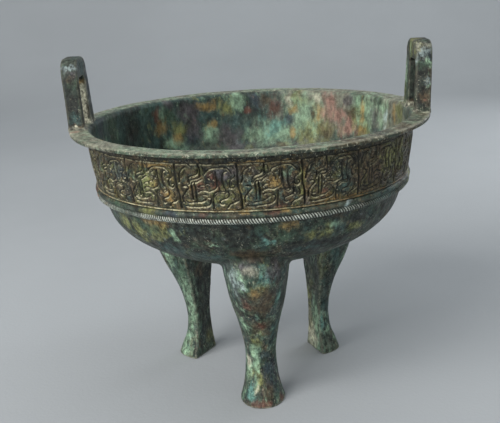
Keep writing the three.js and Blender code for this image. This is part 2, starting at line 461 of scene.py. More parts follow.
def build_lining(material):
    profile, wander = lining_profile()
    azimuths = np.linspace(0, 2 * math.pi, LINING_COLUMNS, endpoint=False)
    points = turned_points(profile, azimuths)
    normals = -profile_normals(profile, azimuths)
    flat = points.reshape(-1, 3)
    lumps = layered_noise(flat, 26, 3, 11) + 0.35 * layered_noise(flat, 4, 2, 12)
    lumps *= casting().lump_height / MM
    points += normals * (lumps.reshape(points.shape[:2]) * wander[:, None])[..., None]
    height = points[..., 2]
    near_rim = smooth_step((height - 176) / 10) * wander[:, None]
    waver = 0.22 * layered_noise(np.column_stack([flat[:, :2], np.zeros(len(flat))]), 48, 2, 13)
    points[..., 2] += near_rim * waver.reshape(height.shape)
    rim_corner = (RIM_RADIUS - RIM_TOP_ROUND, RIM_HEIGHT)
    top = np.argmin(np.abs(profile - rim_corner).sum(axis=1))
    ridge = np.zeros(points.shape[:2])
    ridge[top - 1:top + 3] = 0.35
    rim = np.zeros(points.shape[:2])
    rim[:len(wander)] = (smooth_step((profile[:, 0] - FLANGE_INNER + 2.4) / 2)
                         * smooth_step((profile[:, 1] - 186) / 2))[:, None]
    columns, rows = LINING_COLUMNS, len(profile) - 2
    body = points[1:-1].reshape(-1, 3)
    poles = np.array([points[0, 0], points[-1, 0]])
    quads = grid_quads(rows, columns)
    around = np.arange(columns)
    following = (around + 1) % columns
    low_pole, high_pole = len(body), len(body) + 1
    last = (rows - 1) * columns
    fans = np.vstack([np.column_stack([following, around, np.full(columns, low_pole)]),
                      np.column_stack([last + around, last + following, np.full(columns, high_pole)])])
    reach = np.hypot(points[..., 0], points[..., 1])
    # edge: the rim's outer edge, given moss and a painted shade where it turns down away from the light
    edge = smooth_step((reach - RIM_RADIUS + RIM_TOP_ROUND) / 0.8) * wander[:, None]
    marks = {"ridge": ridge[1:-1].ravel(), "rim": rim[1:-1].ravel(), "edge": edge[1:-1].ravel()}
    marks.update(spot_marks(body, INSIDE_SPOTS, lining_radius))
    return add_piece("lining_and_rim", np.vstack([body, poles]), [quads, fans], material, marks)


# The round underside and the legs, cast in one

# Each leg's depth and half its width, as (height, size)
LEG_DEPTHS = [(0, 22.4), (8, 19), (20, 14.4), (36, 13.4), (55, 18.4), (76, 30.4), (97, 40.4), (108, 41.4),
              (118, 35.4)]
LEG_HALF_WIDTHS = [(0, 15.1), (8, 12.9), (20, 10.8), (36, 10.2), (55, 13.2), (76, 18.2), (97, 21.4),
                   (108, 22), (118, 22)]
LEGS = {
    "front": {"bearing": -91, "twist": 0, "flat_radius": 50, "width": 1.05, "depth": 1.02},
    "right": {"bearing": 29.2, "twist": -7, "flat_radius": 47, "width": 0.93, "depth": 0.9},
    "left": {"bearing": 148.8, "twist": 0, "flat_radius": 50.6, "width": 0.98, "depth": 1},
}
LEG_TOP = 118.0
LEG_SQUARENESS = 2.25
LEG_EDGE_ROUND = 1.6
SOLE_EDGE_ROUND = 1.0
LEG_FILLET = 3.2
CAST_REACH = 110.0
CAST_STEP = 1.1
LEG_DEPTH_CURVE = smooth_through(LEG_DEPTHS, 12)
LEG_WIDTH_CURVE = smooth_through(LEG_HALF_WIDTHS, 12)


def leg_distance(points, bearing, twist, flat_radius, width, depth):
    """Rough distance to one leg: rounded outwards, and flat towards the bowl's axis."""
    turn, tilt = math.radians(bearing), math.radians(twist)
    x = points[:, 0] * math.cos(turn) + points[:, 1] * math.sin(turn) - flat_radius
    y = points[:, 1] * math.cos(turn) - points[:, 0] * math.sin(turn)
    x, y = x * math.cos(tilt) + y * math.sin(tilt), y * math.cos(tilt) - x * math.sin(tilt)
    z = points[:, 2]
    reach = depth * np.interp(z, *LEG_DEPTH_CURVE.T)
    half = width * np.interp(z, *LEG_WIDTH_CURVE.T)
    n = LEG_SQUARENESS
    out = np.maximum(x, 0) / reach
    side = np.abs(y) / half
    level = np.maximum((out ** n + side ** n) ** (1 / n), 1e-3)
    slope = np.hypot((out / level) ** (n - 1) / reach, (side / level) ** (n - 1) / half)
    rounded = (level - 1) / np.maximum(slope, 1e-3)
    shape = smooth_cut(rounded, -x, LEG_EDGE_ROUND)
    shape = smooth_cut(shape, -z, SOLE_EDGE_ROUND)
    return np.maximum(shape, z - LEG_TOP)


def underside_distance(points):
    """Distance to the bowl's outside below the rope, taken as solid up to the mouth."""
    z = points[:, 2]
    radius = np.hypot(points[:, 0], points[:, 1])
    sizes = np.array([BOWL_RADIUS, BOWL_DEPTH])
    round_part = np.column_stack([radius, z - SHOULDER]) / sizes
    level = np.linalg.norm(round_part, axis=1)
    steep = np.maximum(np.linalg.norm(round_part / sizes, axis=1), 1e-6)
    below = level * (level - 1) / steep
    above = radius - cove_radius(z)
    return np.where(z < SHOULDER, below + BOWL_RADIUS - cove_radius(z), above)


def cast_distance(points):
    distance = underside_distance(points)
    for leg in LEGS.values():
        distance = smooth_union(distance, leg_distance(points, **leg), LEG_FILLET)
    return distance


def build_cast(material):
    """The underside and the legs as one closed body, with a plain layer inside the wall."""
    top = ROPE_HEIGHT - 0.4
    low, high = np.array([-CAST_REACH, -CAST_REACH, -2.2]), np.array([CAST_REACH, CAST_REACH, top])
    points, quads = net_over(cast_distance, low, high, CAST_STEP)
    bulge = bulge_of(cast_distance, points, 0.8)
    normal = normals_of(cast_distance, points)
    lumps = 1.2 * layered_noise(points, 22, 3, 21) + 0.45 * layered_noise(points, 5, 2, 22)
    lumps *= smooth_step(points[:, 2] / 3) * casting().lump_height / MM
    points += normal * lumps[:, None]
    points[:, 2] = np.maximum(points[:, 2], 0)
    edges = np.concatenate([quads[:, [i, (i + 1) % 4]] for i in range(4)])
    keys = edges[:, 0].astype(np.int64) * len(points) + edges[:, 1]
    back = edges[:, 1].astype(np.int64) * len(points) + edges[:, 0]
    open_edges = edges[~np.isin(keys, back)]
    following = dict(zip(open_edges[:, 0].tolist(), open_edges[:, 1].tolist()))
    loop = [int(open_edges[0, 0])]
    while following[loop[-1]] != loop[0]:
        loop.append(following[loop[-1]])
    if len(loop) != len(open_edges):
        raise RuntimeError("the underside's upper edge isn't one ring")
    loop = np.array(loop)
    azimuth = np.arctan2(points[loop, 1], points[loop, 0])
    points[loop, 2] = top
    spread = np.linspace(math.pi / 2, 0.06, 9)
    hidden = bowl_profile(spread, OUTER_INSET)
    rings = turned_points(hidden, azimuth).reshape(-1, 3)
    count = len(loop)
    first = len(points)
    pole = first + len(rings)
    points = np.vstack([points, rings, [[0, 0, SHOULDER - BOWL_DEPTH + OUTER_INSET]]])
    around = np.arange(count)
    after = (around + 1) % count
    collar = np.column_stack([loop[after], loop, first + around, first + after])
    layer = grid_quads(len(hidden), count, first)
    last = first + (len(hidden) - 1) * count
    fan = np.column_stack([last + around, np.full(count, pole), last + after])
    legs = smooth_step((112 - points[:len(bulge), 2]) / 10)
    # hollow: grime and a painted shade in the concave creases and fillets
    marks = {"ridge": (bulge * 1.6 - 0.25) * (1 - 0.7 * legs), "hollow": -bulge * 2.2 - 0.1, "legs": legs}
    marks.update(spot_marks(points, UNDERSIDE_SPOTS, bowl_radius))
    marks.update({mark: np.maximum(near, marks.get(mark, 0))
                  for mark, near in spot_marks(points, LEG_SPOTS).items()})
    return add_piece("underside_and_legs", points, [quads, collar, layer, fan], material, marks)


# The pattern band: a coiled dragon in each of eighteen panels, as grooves between soft ridges

PANELS = 18
FIRST_BORDER = -114.0
PANEL_FOOT = 152.0
PANEL_TOP = 181.0
PANEL_WIDTH = math.radians(360 / PANELS) * (NECK_FOOT_RADIUS + 1.7)
COLUMNS_PER_PANEL = 112
PANEL_LOW, PANEL_HIGH = -0.08, 1.1
BAND_INSET = 1.3

# Rows up the band: close together over the panels, and wider apart under the lip
BAND_HEIGHTS = np.concatenate([[151.2], np.linspace(151.7, 183.2, 88), [184.2, 185.4, 186.4, 187.1, 187.9]])

# The grooves of one panel, each a line of (share of the panel's width, share of its height)
BORDER = [(-.03, 1.0), (-.03, .75), (-.02, .55), (0, .4), (.01, .25), (.02, .0)]
MAIN_GROOVES = [
    [(.375, 1.02), (.385, .85), (.39, .75), (.36, .71), (.32, .7), (.25, .67), (.22, .63), (.2, .57)],
    [(.35, .88), (.34, .8), (.3, .77), (.25, .755), (.21, .72), (.195, .67), (.185, .6)],
    [(.42, .7), (.37, .66), (.33, .62), (.27, .62), (.24, .58)],
    [(.17, .94), (.1, .9), (.05, .8), (.045, .72), (.03, .6)],
    [(.1, .53), (.16, .52), (.18, .47), (.13, .4), (.08, .33), (.06, .26), (.07, .17)],
    [(.24, .55), (.245, .4), (.24, .22)],
    [(.29, .6), (.3, .4), (.29, .2)],
    [(.12, .2), (.16, .16), (.22, .155), (.3, .17), (.36, .18), (.41, .215), (.45, .26)],
    [(.1, .09), (.18, .065), (.28, .07), (.38, .08), (.46, .1), (.51, .14), (.53, .2), (.535, .26),
     (.5, .29)],
    [(.34, .4), (.37, .435), (.43, .45), (.48, .43), (.52, .42), (.57, .45), (.62, .475), (.65, .54),
     (.65, .62)],
    [(.77, .43), (.75, .41), (.67, .41), (.6, .38), (.58, .3), (.57, .15), (.57, .03)],
    [(.82, .42), (.83, .32), (.79, .26), (.73, .235), (.68, .2), (.68, .15), (.71, .12), (.74, .14)],
    [(.96, .21), (.92, .165), (.86, .14), (.82, .1), (.8, .05)],
    [(.65, .85), (.655, .7), (.68, .5), (.69, .42)],
    [(.8, .86), (.76, .83), (.74, .75), (.74, .6), (.755, .5), (.78, .44), (.78, .38)],
    [(.47, .8), (.5, .86), (.56, .91), (.65, .93), (.78, .93), (.84, .87), (.87, .82)],
    [(.92, .82), (.92, .74), (.88, .69), (.85, .65), (.84, .58), (.85, .51), (.88, .48), (.92, .5),
     (.93, .56), (.9, .57)],
]
FINE_GROOVES = [
    [(.14, .9), (.12, .82), (.1, .76), (.07, .7)],
    [(.2, 1.0), (.24, .96)],
    [(.16, .33), (.13, .29), (.14, .24), (.18, .25)],
    [(.16, .48), (.13, .4), (.1, .33)],
    [(.35, .51), (.38, .55), (.43, .56)],
    [(.45, .5), (.46, .57), (.5, .6), (.54, .58)],
    [(.61, .33), (.65, .37), (.7, .38), (.75, .36), (.79, .38)],
    [(.82, .7), (.87, .72), (.89, .78), (.86, .8)],
    [(.36, .33), (.42, .35), (.47, .34)],
    [(.44, .95), (.45, .86), (.44, .78)],
    [(.55, .8), (.6, .84), (.62, .78), (.61, .68)],
    [(.53, .72), (.56, .68), (.57, .62)],
    [(.9, .4), (.93, .33), (.92, .26)],
    [(.88, .95), (.92, .91), (.955, .84)],
]


def panel_relief(columns=340, rows=270):
    """The relief of one panel, and how deep each spot lies in a groove, with a little margin round it."""
    sizes = casting()
    groove_half = sizes.groove_half_width / MM
    width, height = PANEL_WIDTH, PANEL_TOP - PANEL_FOOT
    heights = np.linspace(PANEL_LOW, PANEL_HIGH, rows)
    u, v = np.meshgrid(np.linspace(0, 1, columns), heights, indexing="ij")
    spots = np.column_stack([u.ravel() * width, v.ravel() * height])
    cut = np.zeros(len(spots))
    nearest = np.full(len(spots), 1e3)
    lines = [(line, 1.0, 1.0) for line in MAIN_GROOVES] + [(line, 0.5, 0.75) for line in FINE_GROOVES]
    lines += [([(x + shift, y) for x, y in BORDER], 1.25, 1.35) for shift in (0, 1)]
    for line, depth, breadth in lines:
        for shift in (-1, 0, 1):
            path = smooth_through(line, 5) * (width, height) + (shift * width, 0)
            if path[:, 0].max() < -2 or path[:, 0].min() > width + 2:
                continue
            gap = distance_to_path(spots, path)
            cut = np.maximum(cut, depth * np.exp(-(gap / (groove_half * breadth)) ** 2 * 0.8))
            nearest = np.minimum(nearest, gap)
    raised = 1 - np.exp(-((nearest - 0.3).clip(0) / 0.8) ** 2)
    raised += 0.9 * np.exp(-((nearest - 0.85) / 0.35) ** 2)
    relief = sizes.ridge_height / MM * raised - sizes.groove_depth / MM * cut
    return relief.reshape(columns, rows), cut.reshape(columns, rows)


def distance_to_path(spots, path):
    """The distance from each spot to the nearest stretch of a path, all in a plane."""
    best = np.full(len(spots), 1e6)
    for a, b in zip(path[:-1], path[1:]):
        run = b - a
        share = np.clip(((spots - a) @ run) / max(run @ run, 1e-9), 0, 1)
        gap = spots - a - share[:, None] * run
        best = np.minimum(best, np.einsum("ij,ij->i", gap, gap))
    return np.sqrt(best)


def sampled(grid, u, v):
    """A grid's values at fractions u of its columns, which wrap round, and v of its rows."""
    columns, rows = grid.shape
    x = (u % 1) * (columns - 1)
    y = np.clip((v - PANEL_LOW) / (PANEL_HIGH - PANEL_LOW), 0, 1) * (rows - 1)
    i = np.minimum(x.astype(int), columns - 2)
    j = np.minimum(y.astype(int), rows - 2)
    fx, fy = x - i, y - j
    low = grid[i, j] * (1 - fx) + grid[i + 1, j] * fx
    high = grid[i, j + 1] * (1 - fx) + grid[i + 1, j + 1] * fx
    return low * (1 - fy) + high * fy


def build_band(material):
    relief_grid, cut_grid = panel_relief()
    columns = PANELS * COLUMNS_PER_PANEL
    azimuth = np.radians(FIRST_BORDER) + np.linspace(0, 2 * math.pi, columns, endpoint=False)
    phi, z = np.meshgrid(azimuth, BAND_HEIGHTS, indexing="ij")
    radius = neck_radius(z)
    base = np.stack([radius * np.cos(phi), radius * np.sin(phi), z], axis=-1)
    flat = base.reshape(-1, 3)

    def noise_over(wavelength, layers, seed):
        return layered_noise(flat, wavelength, layers, seed).reshape(phi.shape)

    sway = 0.55 * noise_over(9, 2, 31) / PANEL_WIDTH
    rise = 0.45 * noise_over(9, 2, 33) / (PANEL_TOP - PANEL_FOOT)
    u = (phi - np.radians(FIRST_BORDER)) / (2 * math.pi) * PANELS + sway
    v = (z - PANEL_FOOT) / (PANEL_TOP - PANEL_FOOT) + rise
    in_panel = smooth_step((z - 151.6) / 0.8) * (1 - smooth_step((v - 0.985) / 0.03))
    worn = np.clip(0.85 + 0.6 * noise_over(9, 3, 35), 0.15, 1.15)
    relief = sampled(relief_grid, u, v) * worn
    cut = sampled(cut_grid, u, v) * in_panel * np.clip(worn + 0.2, 0, 1)
    top_line = np.exp(-((v - 1.015) / 0.016) ** 2)
    relief = relief * in_panel - 0.5 * top_line
    relief += 0.05 * noise_over(2.6, 2, 37)
    relief += 0.1 * noise_over(14, 2, 38)
    relief *= smooth_step((187.6 - z) / 1.5)
    under_lip = 1.2 * np.exp((z - LIP_UNDERSIDE) / 0.6).clip(0, 1)
    stand_out = relief - blurred(relief, 4)
    out = radius + relief + under_lip
    points = np.stack([out * np.cos(phi), out * np.sin(phi), z], axis=-1)
    # Painted highlight: the slopes under each groove face up to the light, and gold is painted on them for
    # their glint
    up_facing_highlight = -np.gradient(relief, BAND_HEIGHTS, axis=1)
    border = np.minimum(u % 1, 1 - u % 1)
    earth = np.exp(-((v - 1) / 0.05) ** 2) + np.exp(-((v + 0.03) / 0.07) ** 2)
    earth *= by_side(points, EARTHY_SIDES)
    earth += np.exp(-(border / 0.05) ** 2) * in_panel * by_side(points, EARTHY_BORDERS)
    patchy = smooth_step(0.5 + noise_over(22, 3, 39))
    grooves = np.maximum(cut, top_line * 0.8) ** (1.1 * by_side(points, GROOVE_SHARPNESS))
    # ridge: a painted highlight on the up-facing slopes and some wear on the raised parts, strongest on the
    # lit front and left
    marks = {"ridge": (up_facing_highlight * 1.7 + stand_out * 0.5 - 0.75) * by_side(points, LIT_AND_WORN_SIDES),
             "earth": earth * patchy,
             # hollow: grime and a painted shade in the grooves and the low parts of the relief
             "hollow": grooves + (-stand_out * 1.5).clip(0),
             # Painted shadow under the lip, darker towards it
             "lip_shade": smooth_step((z - 177) / 7)}
    near = spot_marks(points.reshape(-1, 3), BAND_SPOTS, neck_radius)
    marks.update({mark: values.reshape(phi.shape) for mark, values in near.items()})
    for name, first_panel in (("pattern_band_back", 6), ("pattern_band_front", 15)):
        start = first_panel * COLUMNS_PER_PANEL
        picked = (start + np.arange(PANELS // 2 * COLUMNS_PER_PANEL + 1)) % columns
        own_marks = {mark: values[picked].ravel() for mark, values in marks.items()}
        add_band_half(name, points[picked], azimuth[picked], own_marks, material)


def blurred(values, reach):
    """Each value averaged with its neighbours, round the ring and up and down it."""
    total = np.zeros_like(values)
    for shift in range(-reach, reach + 1):
        total += np.roll(values, shift, axis=0)
    padded = np.pad(total, ((0, 0), (reach, reach)), mode="edge")
    rows = values.shape[1]
    return sum(padded[:, i:i + rows] for i in range(2 * reach + 1)) / (2 * reach + 1) ** 2


def add_band_half(name, outside, azimuth, marks, material):
    """Half of the band as a closed slab: its outside, a plain inside, and walls round the edge."""
    columns, rows = outside.shape[:2]
    inner = neck_radius(BAND_HEIGHTS) - BAND_INSET
    inside = np.stack([np.outer(np.cos(azimuth), inner), np.outer(np.sin(azimuth), inner),
                       np.broadcast_to(BAND_HEIGHTS, (columns, rows))], axis=-1)
    along, back = np.arange(columns), np.arange(columns - 2, -1, -1)
    up, down = np.arange(1, rows), np.arange(rows - 2, 0, -1)
    edge_columns = np.concatenate([along, np.full(rows - 1, columns - 1), back, np.zeros(rows - 2, int)])
    edge_rows = np.concatenate([np.zeros(columns, int), up, np.full(columns - 1, rows - 1), down])
    outer_edge = edge_columns * rows + edge_rows
    first = columns * rows
    around = np.arange(len(outer_edge))
    after = (around + 1) % len(around)
    wall = np.column_stack([outer_edge, outer_edge[after], first + after, first + around])
    face = grid_quads(columns, rows, closed=False)
    points = np.vstack([outside.reshape(-1, 3), inside[edge_columns, edge_rows]])
    strips, ends = hidden_sheet(first, columns, rows)
    add_piece(name, points, [face[:, ::-1], wall, strips, ends], material, marks, sharp_angle=75)


def hidden_sheet(first, columns, rows):
    """The slab's inside: tall strips between its lower and upper edges, and a fan at either end."""
    low = first + np.arange(columns)
    high = first + columns + rows - 2 + np.arange(columns)[::-1]
    strips = np.column_stack([low[1:-2], low[2:-1], high[2:-1], high[1:-2]])
    corner = 2 * columns + rows - 3
    near_end = first + np.concatenate([[0], np.arange(corner + rows - 2, corner, -1), [corner]])
    far_end = first + np.arange(columns - 1, columns + rows - 1)
    fans = []
    for edge, low_point, high_point in ((near_end, low[1], high[1]), (far_end, low[-2], high[-2])):
        half = len(edge) // 2
        fans += [(edge[i], edge[i + 1], low_point) for i in range(half)]
        fans += [(edge[i], edge[i + 1], high_point) for i in range(half, len(edge) - 1)]
        fans.append((edge[half], high_point, low_point))
    return strips, np.array(fans)


# The rope moulding and the smooth band above it

COLUMNS_PER_LAY = 7
ROPE_CORE = 1.15
STRAND_HEIGHT = 0.78
ROPE_BACK = 1.2

# The directions from the rope's middle to the points round it, with the last two hidden in the wall
ROPE_SECTION = np.radians([-100, -76, -54, -34, -14, 6, 26, 46, 66, 88, 135, 225])

SWELL_FOOT = 146.2
SWELL_TOP = 150.4
SWELL_DEPTH = 1.6
LINE_DEPTH = 0.75
LINE_WIDTH = 0.95
SMOOTH_COLUMNS = 720


def build_rope(material):
    strands, lays = casting().rope_strands, casting().rope_lays
    along = np.linspace(0, 2 * math.pi, lays * COLUMNS_PER_LAY, endpoint=False)
    phi, theta = np.meshgrid(along, ROPE_SECTION, indexing="ij")
    places = np.column_stack([np.cos(phi.ravel()), np.sin(phi.ravel()), np.zeros(phi.size)]) * 100
    wear = layered_noise(places, 14, 3, 41).reshape(phi.shape)
    uneven = 0.9 * layered_noise(places, 8, 2, 45).reshape(phi.shape)
    phase = strands * theta + lays * (phi - 0.2 * np.sin(phi + 0.35)) + uneven
    bead = np.abs(np.sin(phase / 2))
    level = ROPE_CORE + (STRAND_HEIGHT + 0.2 * wear) * bead ** 0.8
    level[:, -2:] = ROPE_BACK
    ring = ROPE_RING + level * np.cos(theta)
    points = np.stack([ring * np.cos(phi), ring * np.sin(phi), ROPE_HEIGHT + level * np.sin(theta)], axis=-1)
    flat = points.reshape(-1, 3)
    # Pale strand tops: lime and a painted highlight, strongest on the lit side; the dark gaps between
    # strands: grime and a painted shade
    worn = by_side(points, ROPE_SIDES) * (1 + 0.6 * wear)
    marks = {"hollow": (1.3 - bead * 1.6).ravel(), "ridge": ((bead * 2.6 - 1.4) * worn).ravel()}
    marks.update(spot_marks(flat, MOULDING_SPOTS, neck_radius))
    quads = looped_quads(len(along), len(ROPE_SECTION))
    return add_piece("rope_moulding", flat, [quads], material, marks, sharp_angle=80)


def smooth_band_profile():
    """Radius and height up the swell and the thin line above it, and down again inside the wall."""
    swell = [(NECK_FOOT_RADIUS + 0.3 + SWELL_DEPTH * np.sin(t * math.pi) ** 0.8,
              SWELL_FOOT + (SWELL_TOP - SWELL_FOOT) * t) for t in np.linspace(0, 1, 9)]
    line = [(NECK_FOOT_RADIUS + 0.35 + LINE_DEPTH * np.sin(t * math.pi), SWELL_TOP + 0.3 + LINE_WIDTH * t)
            for t in np.linspace(0, 1, 7)]
    back, hidden_foot = NECK_FOOT_RADIUS - 2.2, ROPE_HEIGHT - 2
    hidden = [(NECK_FOOT_RADIUS - 1.0, SWELL_TOP + 2.2), (back, SWELL_TOP + 1.5), (back, SWELL_FOOT + 0.8),
              (104.6, hidden_foot), (105.8, hidden_foot)]
    return swell, line, hidden


def build_smooth_band(material):
    swell, line, hidden = smooth_band_profile()
    profile = np.array(swell + line + hidden)
    visible = np.array([1.0] * (len(swell) + len(line)) + [0.0] * len(hidden))
    azimuths = np.linspace(0, 2 * math.pi, SMOOTH_COLUMNS, endpoint=False)
    points = turned_points(profile, azimuths)
    flat = points.reshape(-1, 3)
    lumps = 0.09 * layered_noise(flat, 12, 2, 51) + 0.05 * layered_noise(flat, 3, 2, 52)
    lumps = np.clip(lumps, -0.2, 0.2)
    rows, columns = points.shape[:2]
    lumps = lumps.reshape(rows, columns) * visible[:, None]
    points += profile_normals(profile, azimuths) * lumps[..., None]
    ridge = np.zeros((rows, columns))
    hollow = np.zeros((rows, columns))
    ridge[len(swell) + 1:len(swell) + len(line) - 1] = 1.0
    # hollow: grime and a painted shade in the crease between the swell and the line, and at the swell's foot
    hollow[len(swell) - 1:len(swell) + 1] = 0.8
    hollow[0] = 0.7
    patchy = np.clip(0.75 + 0.6 * layered_noise(flat, 16, 3, 53), 0.1, 1.1)
    # The raised line's gold: wear and a painted highlight, strongest on the lit side
    marks = {"hollow": hollow.ravel(), "ridge": (ridge * by_side(points, LIT_AND_WORN_SIDES) ** 2).ravel() * patchy,
             "line": ridge.ravel()}
    points = points.reshape(-1, 3)
    marks.update(spot_marks(points, MOULDING_SPOTS, neck_radius))
    return add_piece("smooth_band", points, [looped_quads(rows, columns)], material, marks)


# The standing handles

HANDLE_HEIGHT = 47.0
HANDLE_FOOT = 21.0
HANDLE_SHOULDER = 16.75
HANDLE_CORNER = 9.0
HANDLE_INNER = 112.3
HANDLE_THICKNESS = 10.8
HANDLE_SWELL = 0.6
HANDLE_LEAN = 2.2
HANDLE_SKEW = 0.028
SLOT_HALF = 9.5
SLOT_TOP = 34.0
SLOT_CORNER = 3.5
SLOT_SHIFT = 4.5
HANDLE_EDGE_ROUND = 1.5
SLOT_EDGE_ROUND = 0.9
HANDLE_FILLET = 2.2
FILLET_REACH = 1.9
HANDLE_ROOT = 1.6
RIM_EDGE_INSET = 0.3
HANDLE_STEP = 0.55
HANDLE_BOX = np.array([[108.0, -26.0, 187.0], [130.0, 26.0, 239.5]])


def rounded_common(a, b, radius):
    """The common part of two solids with a true round of that radius on the edge between them."""
    outer = np.hypot(np.maximum(a + radius, 0), np.maximum(b + radius, 0))
    return np.minimum(np.maximum(a + radius, b + radius), 0) + outer - radius


def handle_distance(points, frontwards):
    """Distance to the handle on the rim at +X. frontwards is -1 where the vessel's front is at -Y, and 1
    where it is at +Y. Of the rim, only what lies near the handle's foot is kept, for the fillet there."""
    x, y, h = points[:, 0], points[:, 1], points[:, 2] - RIM_HEIGHT
    taper = (HANDLE_FOOT - HANDLE_SHOULDER) / (HANDLE_HEIGHT - HANDLE_CORNER)
    side = (np.abs(y) - HANDLE_FOOT + taper * h) / math.hypot(1, taper)
    outline = rounded_common(side, h - HANDLE_HEIGHT, HANDLE_CORNER)
    slot = rounded_common(np.abs(y - frontwards * SLOT_SHIFT) - SLOT_HALF, h - SLOT_TOP, SLOT_CORNER)
    share = h / HANDLE_HEIGHT
    near = HANDLE_INNER + HANDLE_LEAN * share + frontwards * HANDLE_SKEW * y
    far = near + HANDLE_THICKNESS + HANDLE_SWELL * share
    slab = np.maximum(near - x, x - far)
    body = rounded_common(outline, slab, HANDLE_EDGE_ROUND)
    body = rounded_common(body, -slot, SLOT_EDGE_ROUND)
    radius = np.hypot(x, y)
    rim = np.hypot(np.maximum(FLANGE_INNER - radius, 0), np.maximum(h + FLARE, 0)) - FLARE
    rim = np.where(radius > FLANGE_INNER, h, rim)
    rim = np.maximum(rim, radius - RIM_RADIUS + RIM_EDGE_INSET)
    joined = smooth_union(body, rim, HANDLE_FILLET)
    joined = np.maximum(joined, body - FILLET_REACH)
    return np.maximum(joined, -h - HANDLE_ROOT)


def build_handle(name, turn, seed, spots, material):
    frontwards = -1 if turn == 0 else 1

    def distance(points):
        return handle_distance(points, frontwards)

    points, quads = net_over(distance, *HANDLE_BOX, HANDLE_STEP)
    bulge = bulge_of(distance, points, 0.6)
    normal = normals_of(distance, points)
    free = smooth_step((points[:, 2] - RIM_HEIGHT - 0.5) / 3)
    lumps = layered_noise(points, 14, 3, seed) + 0.4 * layered_noise(points, 3.5, 2, seed + 5)
    lumps *= 0.9 * casting().lump_height / MM
    points += normal * (lumps * free - 0.05)[:, None]
    points[:, :2] *= math.cos(turn)
    # hollow: grime and a painted shade in the concave corners and fillets
    marks = {"hollow": -bulge * 1.5 - 0.1, "ridge": bulge * 0.5 - 0.12,
             "foot": 1 - smooth_step((points[:, 2] - RIM_HEIGHT - 1) / 3)}
    marks.update(spot_marks(points, spots))
    return add_piece(name, points, [quads], material, marks)


# The bronze and its patina

def shade_property(name, description, red, green, blue):
    return bpy.props.FloatVectorProperty(
        name=name, description=description, subtype="COLOR", size=3, min=0, max=1,
        default=(red, green, blue))


class PatinaShades(bpy.types.PropertyGroup):
    """Colours of the bronze and of what has grown on it"""

    # Laid in the hollows: grime and a painted shade
    dirt_and_shade: shade_property("Dirt", "Dirt in the grooves and the hollows", 0.010, 0.011, 0.008)
    dark: shade_property("Dark", "Bare dark skin", 0.016, 0.020, 0.017)
    bronze: shade_property("Bronze", "Warm brown-olive metal", 0.057, 0.051, 0.020)
    sea: shade_property("Sea", "Blue-green film of the inside", 0.045, 0.082, 0.070)
    skin: shade_property("Skin", "Thin grey-green film over most of the vessel", 0.062, 0.078, 0.060)
    moss: shade_property("Moss", "Deep green growth", 0.040, 0.072, 0.045)
    teal: shade_property("Teal", "Dark blue-green film", 0.035, 0.072, 0.066)
    turquoise: shade_property("Turquoise", "Bright blue-green crust", 0.110, 0.250, 0.215)
    mint: shade_property("Mint", "Pale green crust", 0.250, 0.385, 0.255)
    ice: shade_property("Ice", "Bluish white crust", 0.420, 0.520, 0.500)
    mist: shade_property("Mist", "Thin bluish white crust", 0.230, 0.290, 0.285)
    # Gold goes on the band's ridges and the smooth band's line: worn metal and a painted highlight
    gold: shade_property("Gold", "Worn metal on the pattern band", 0.560, 0.520, 0.330)
    # Lime goes on the rope's strand tops: white lime and a painted highlight
    lime: shade_property("Lime", "White lime on the rope", 0.560, 0.600, 0.530)
    cream: shade_property("Cream", "Worn metal and lime", 0.500, 0.490, 0.370)
    # Dust and painted light: washes that light the inside's right and the rim's front left, and dust on the
    # rim, the legs and a handle
    dust: shade_property("Dust", "Dry grey dust on the lit side", 0.240, 0.235, 0.180)
    olive: shade_property("Olive", "Yellow-green film", 0.195, 0.205, 0.072)
    ochre: shade_property("Ochre", "Yellow earth", 0.280, 0.185, 0.062)
    amber: shade_property("Amber", "Orange-brown earth", 0.190, 0.105, 0.032)
    rust: shade_property("Rust", "Red-brown copper bloom", 0.110, 0.043, 0.028)
    brown: shade_property("Brown", "Brown earth", 0.080, 0.056, 0.032)
    plum: shade_property("Plum", "Purplish grey film", 0.080, 0.072, 0.078)
    pink: shade_property("Pink", "Pale red bloom", 0.300, 0.165, 0.130)
    blue: shade_property("Blue", "Dark blue-grey film", 0.030, 0.045, 0.058)


# A film's shade, the size of its patches in mm, the noise at which it starts and is full, its strength, how
# tall its patches are for their width, and the mark of the zone that it keeps to, if any
Film = namedtuple("Film", "shade size low high share stretch zone", defaults=(1.0, ""))

INSIDE_FILMS = [
    Film("teal", 15, 0.46, 0.6, 0.6, 2.2),
    Film("plum", 13, 0.56, 0.66, 0.5, 1.6),
    Film("moss", 8, 0.53, 0.63, 0.6, 2),
    Film("olive", 7, 0.58, 0.68, 0.5, 1.6),
    Film("mint", 5, 0.56, 0.68, 0.4, 1.8),
    Film("skin", 2, 0.2, 0.4, 1, 1, "rim"),
    Film("dust", 6, 0.36, 0.54, 0.8, 1, "rim"),
    Film("mint", 9, 0.4, 0.56, 0.5, 1, "rim"),
    Film("moss", 4, 0.54, 0.66, 0.55, 1, "rim"),
    # On the rim's outer edge: moss, and dark as a painted shade
    Film("moss", 3, 0.3, 0.5, 0.8, 1, "edge"),
    Film("dark", 2.4, 0.46, 0.6, 0.75, 1, "edge"),
]
RIM_GRAINS = [
    Film("dark", 3.4, 0.5, 0.62, 0.55, 1, "rim"),
    Film("brown", 2.4, 0.52, 0.6, 0.6, 1, "rim"),
    Film("cream", 2.2, 0.54, 0.64, 0.65, 1, "rim"),
]
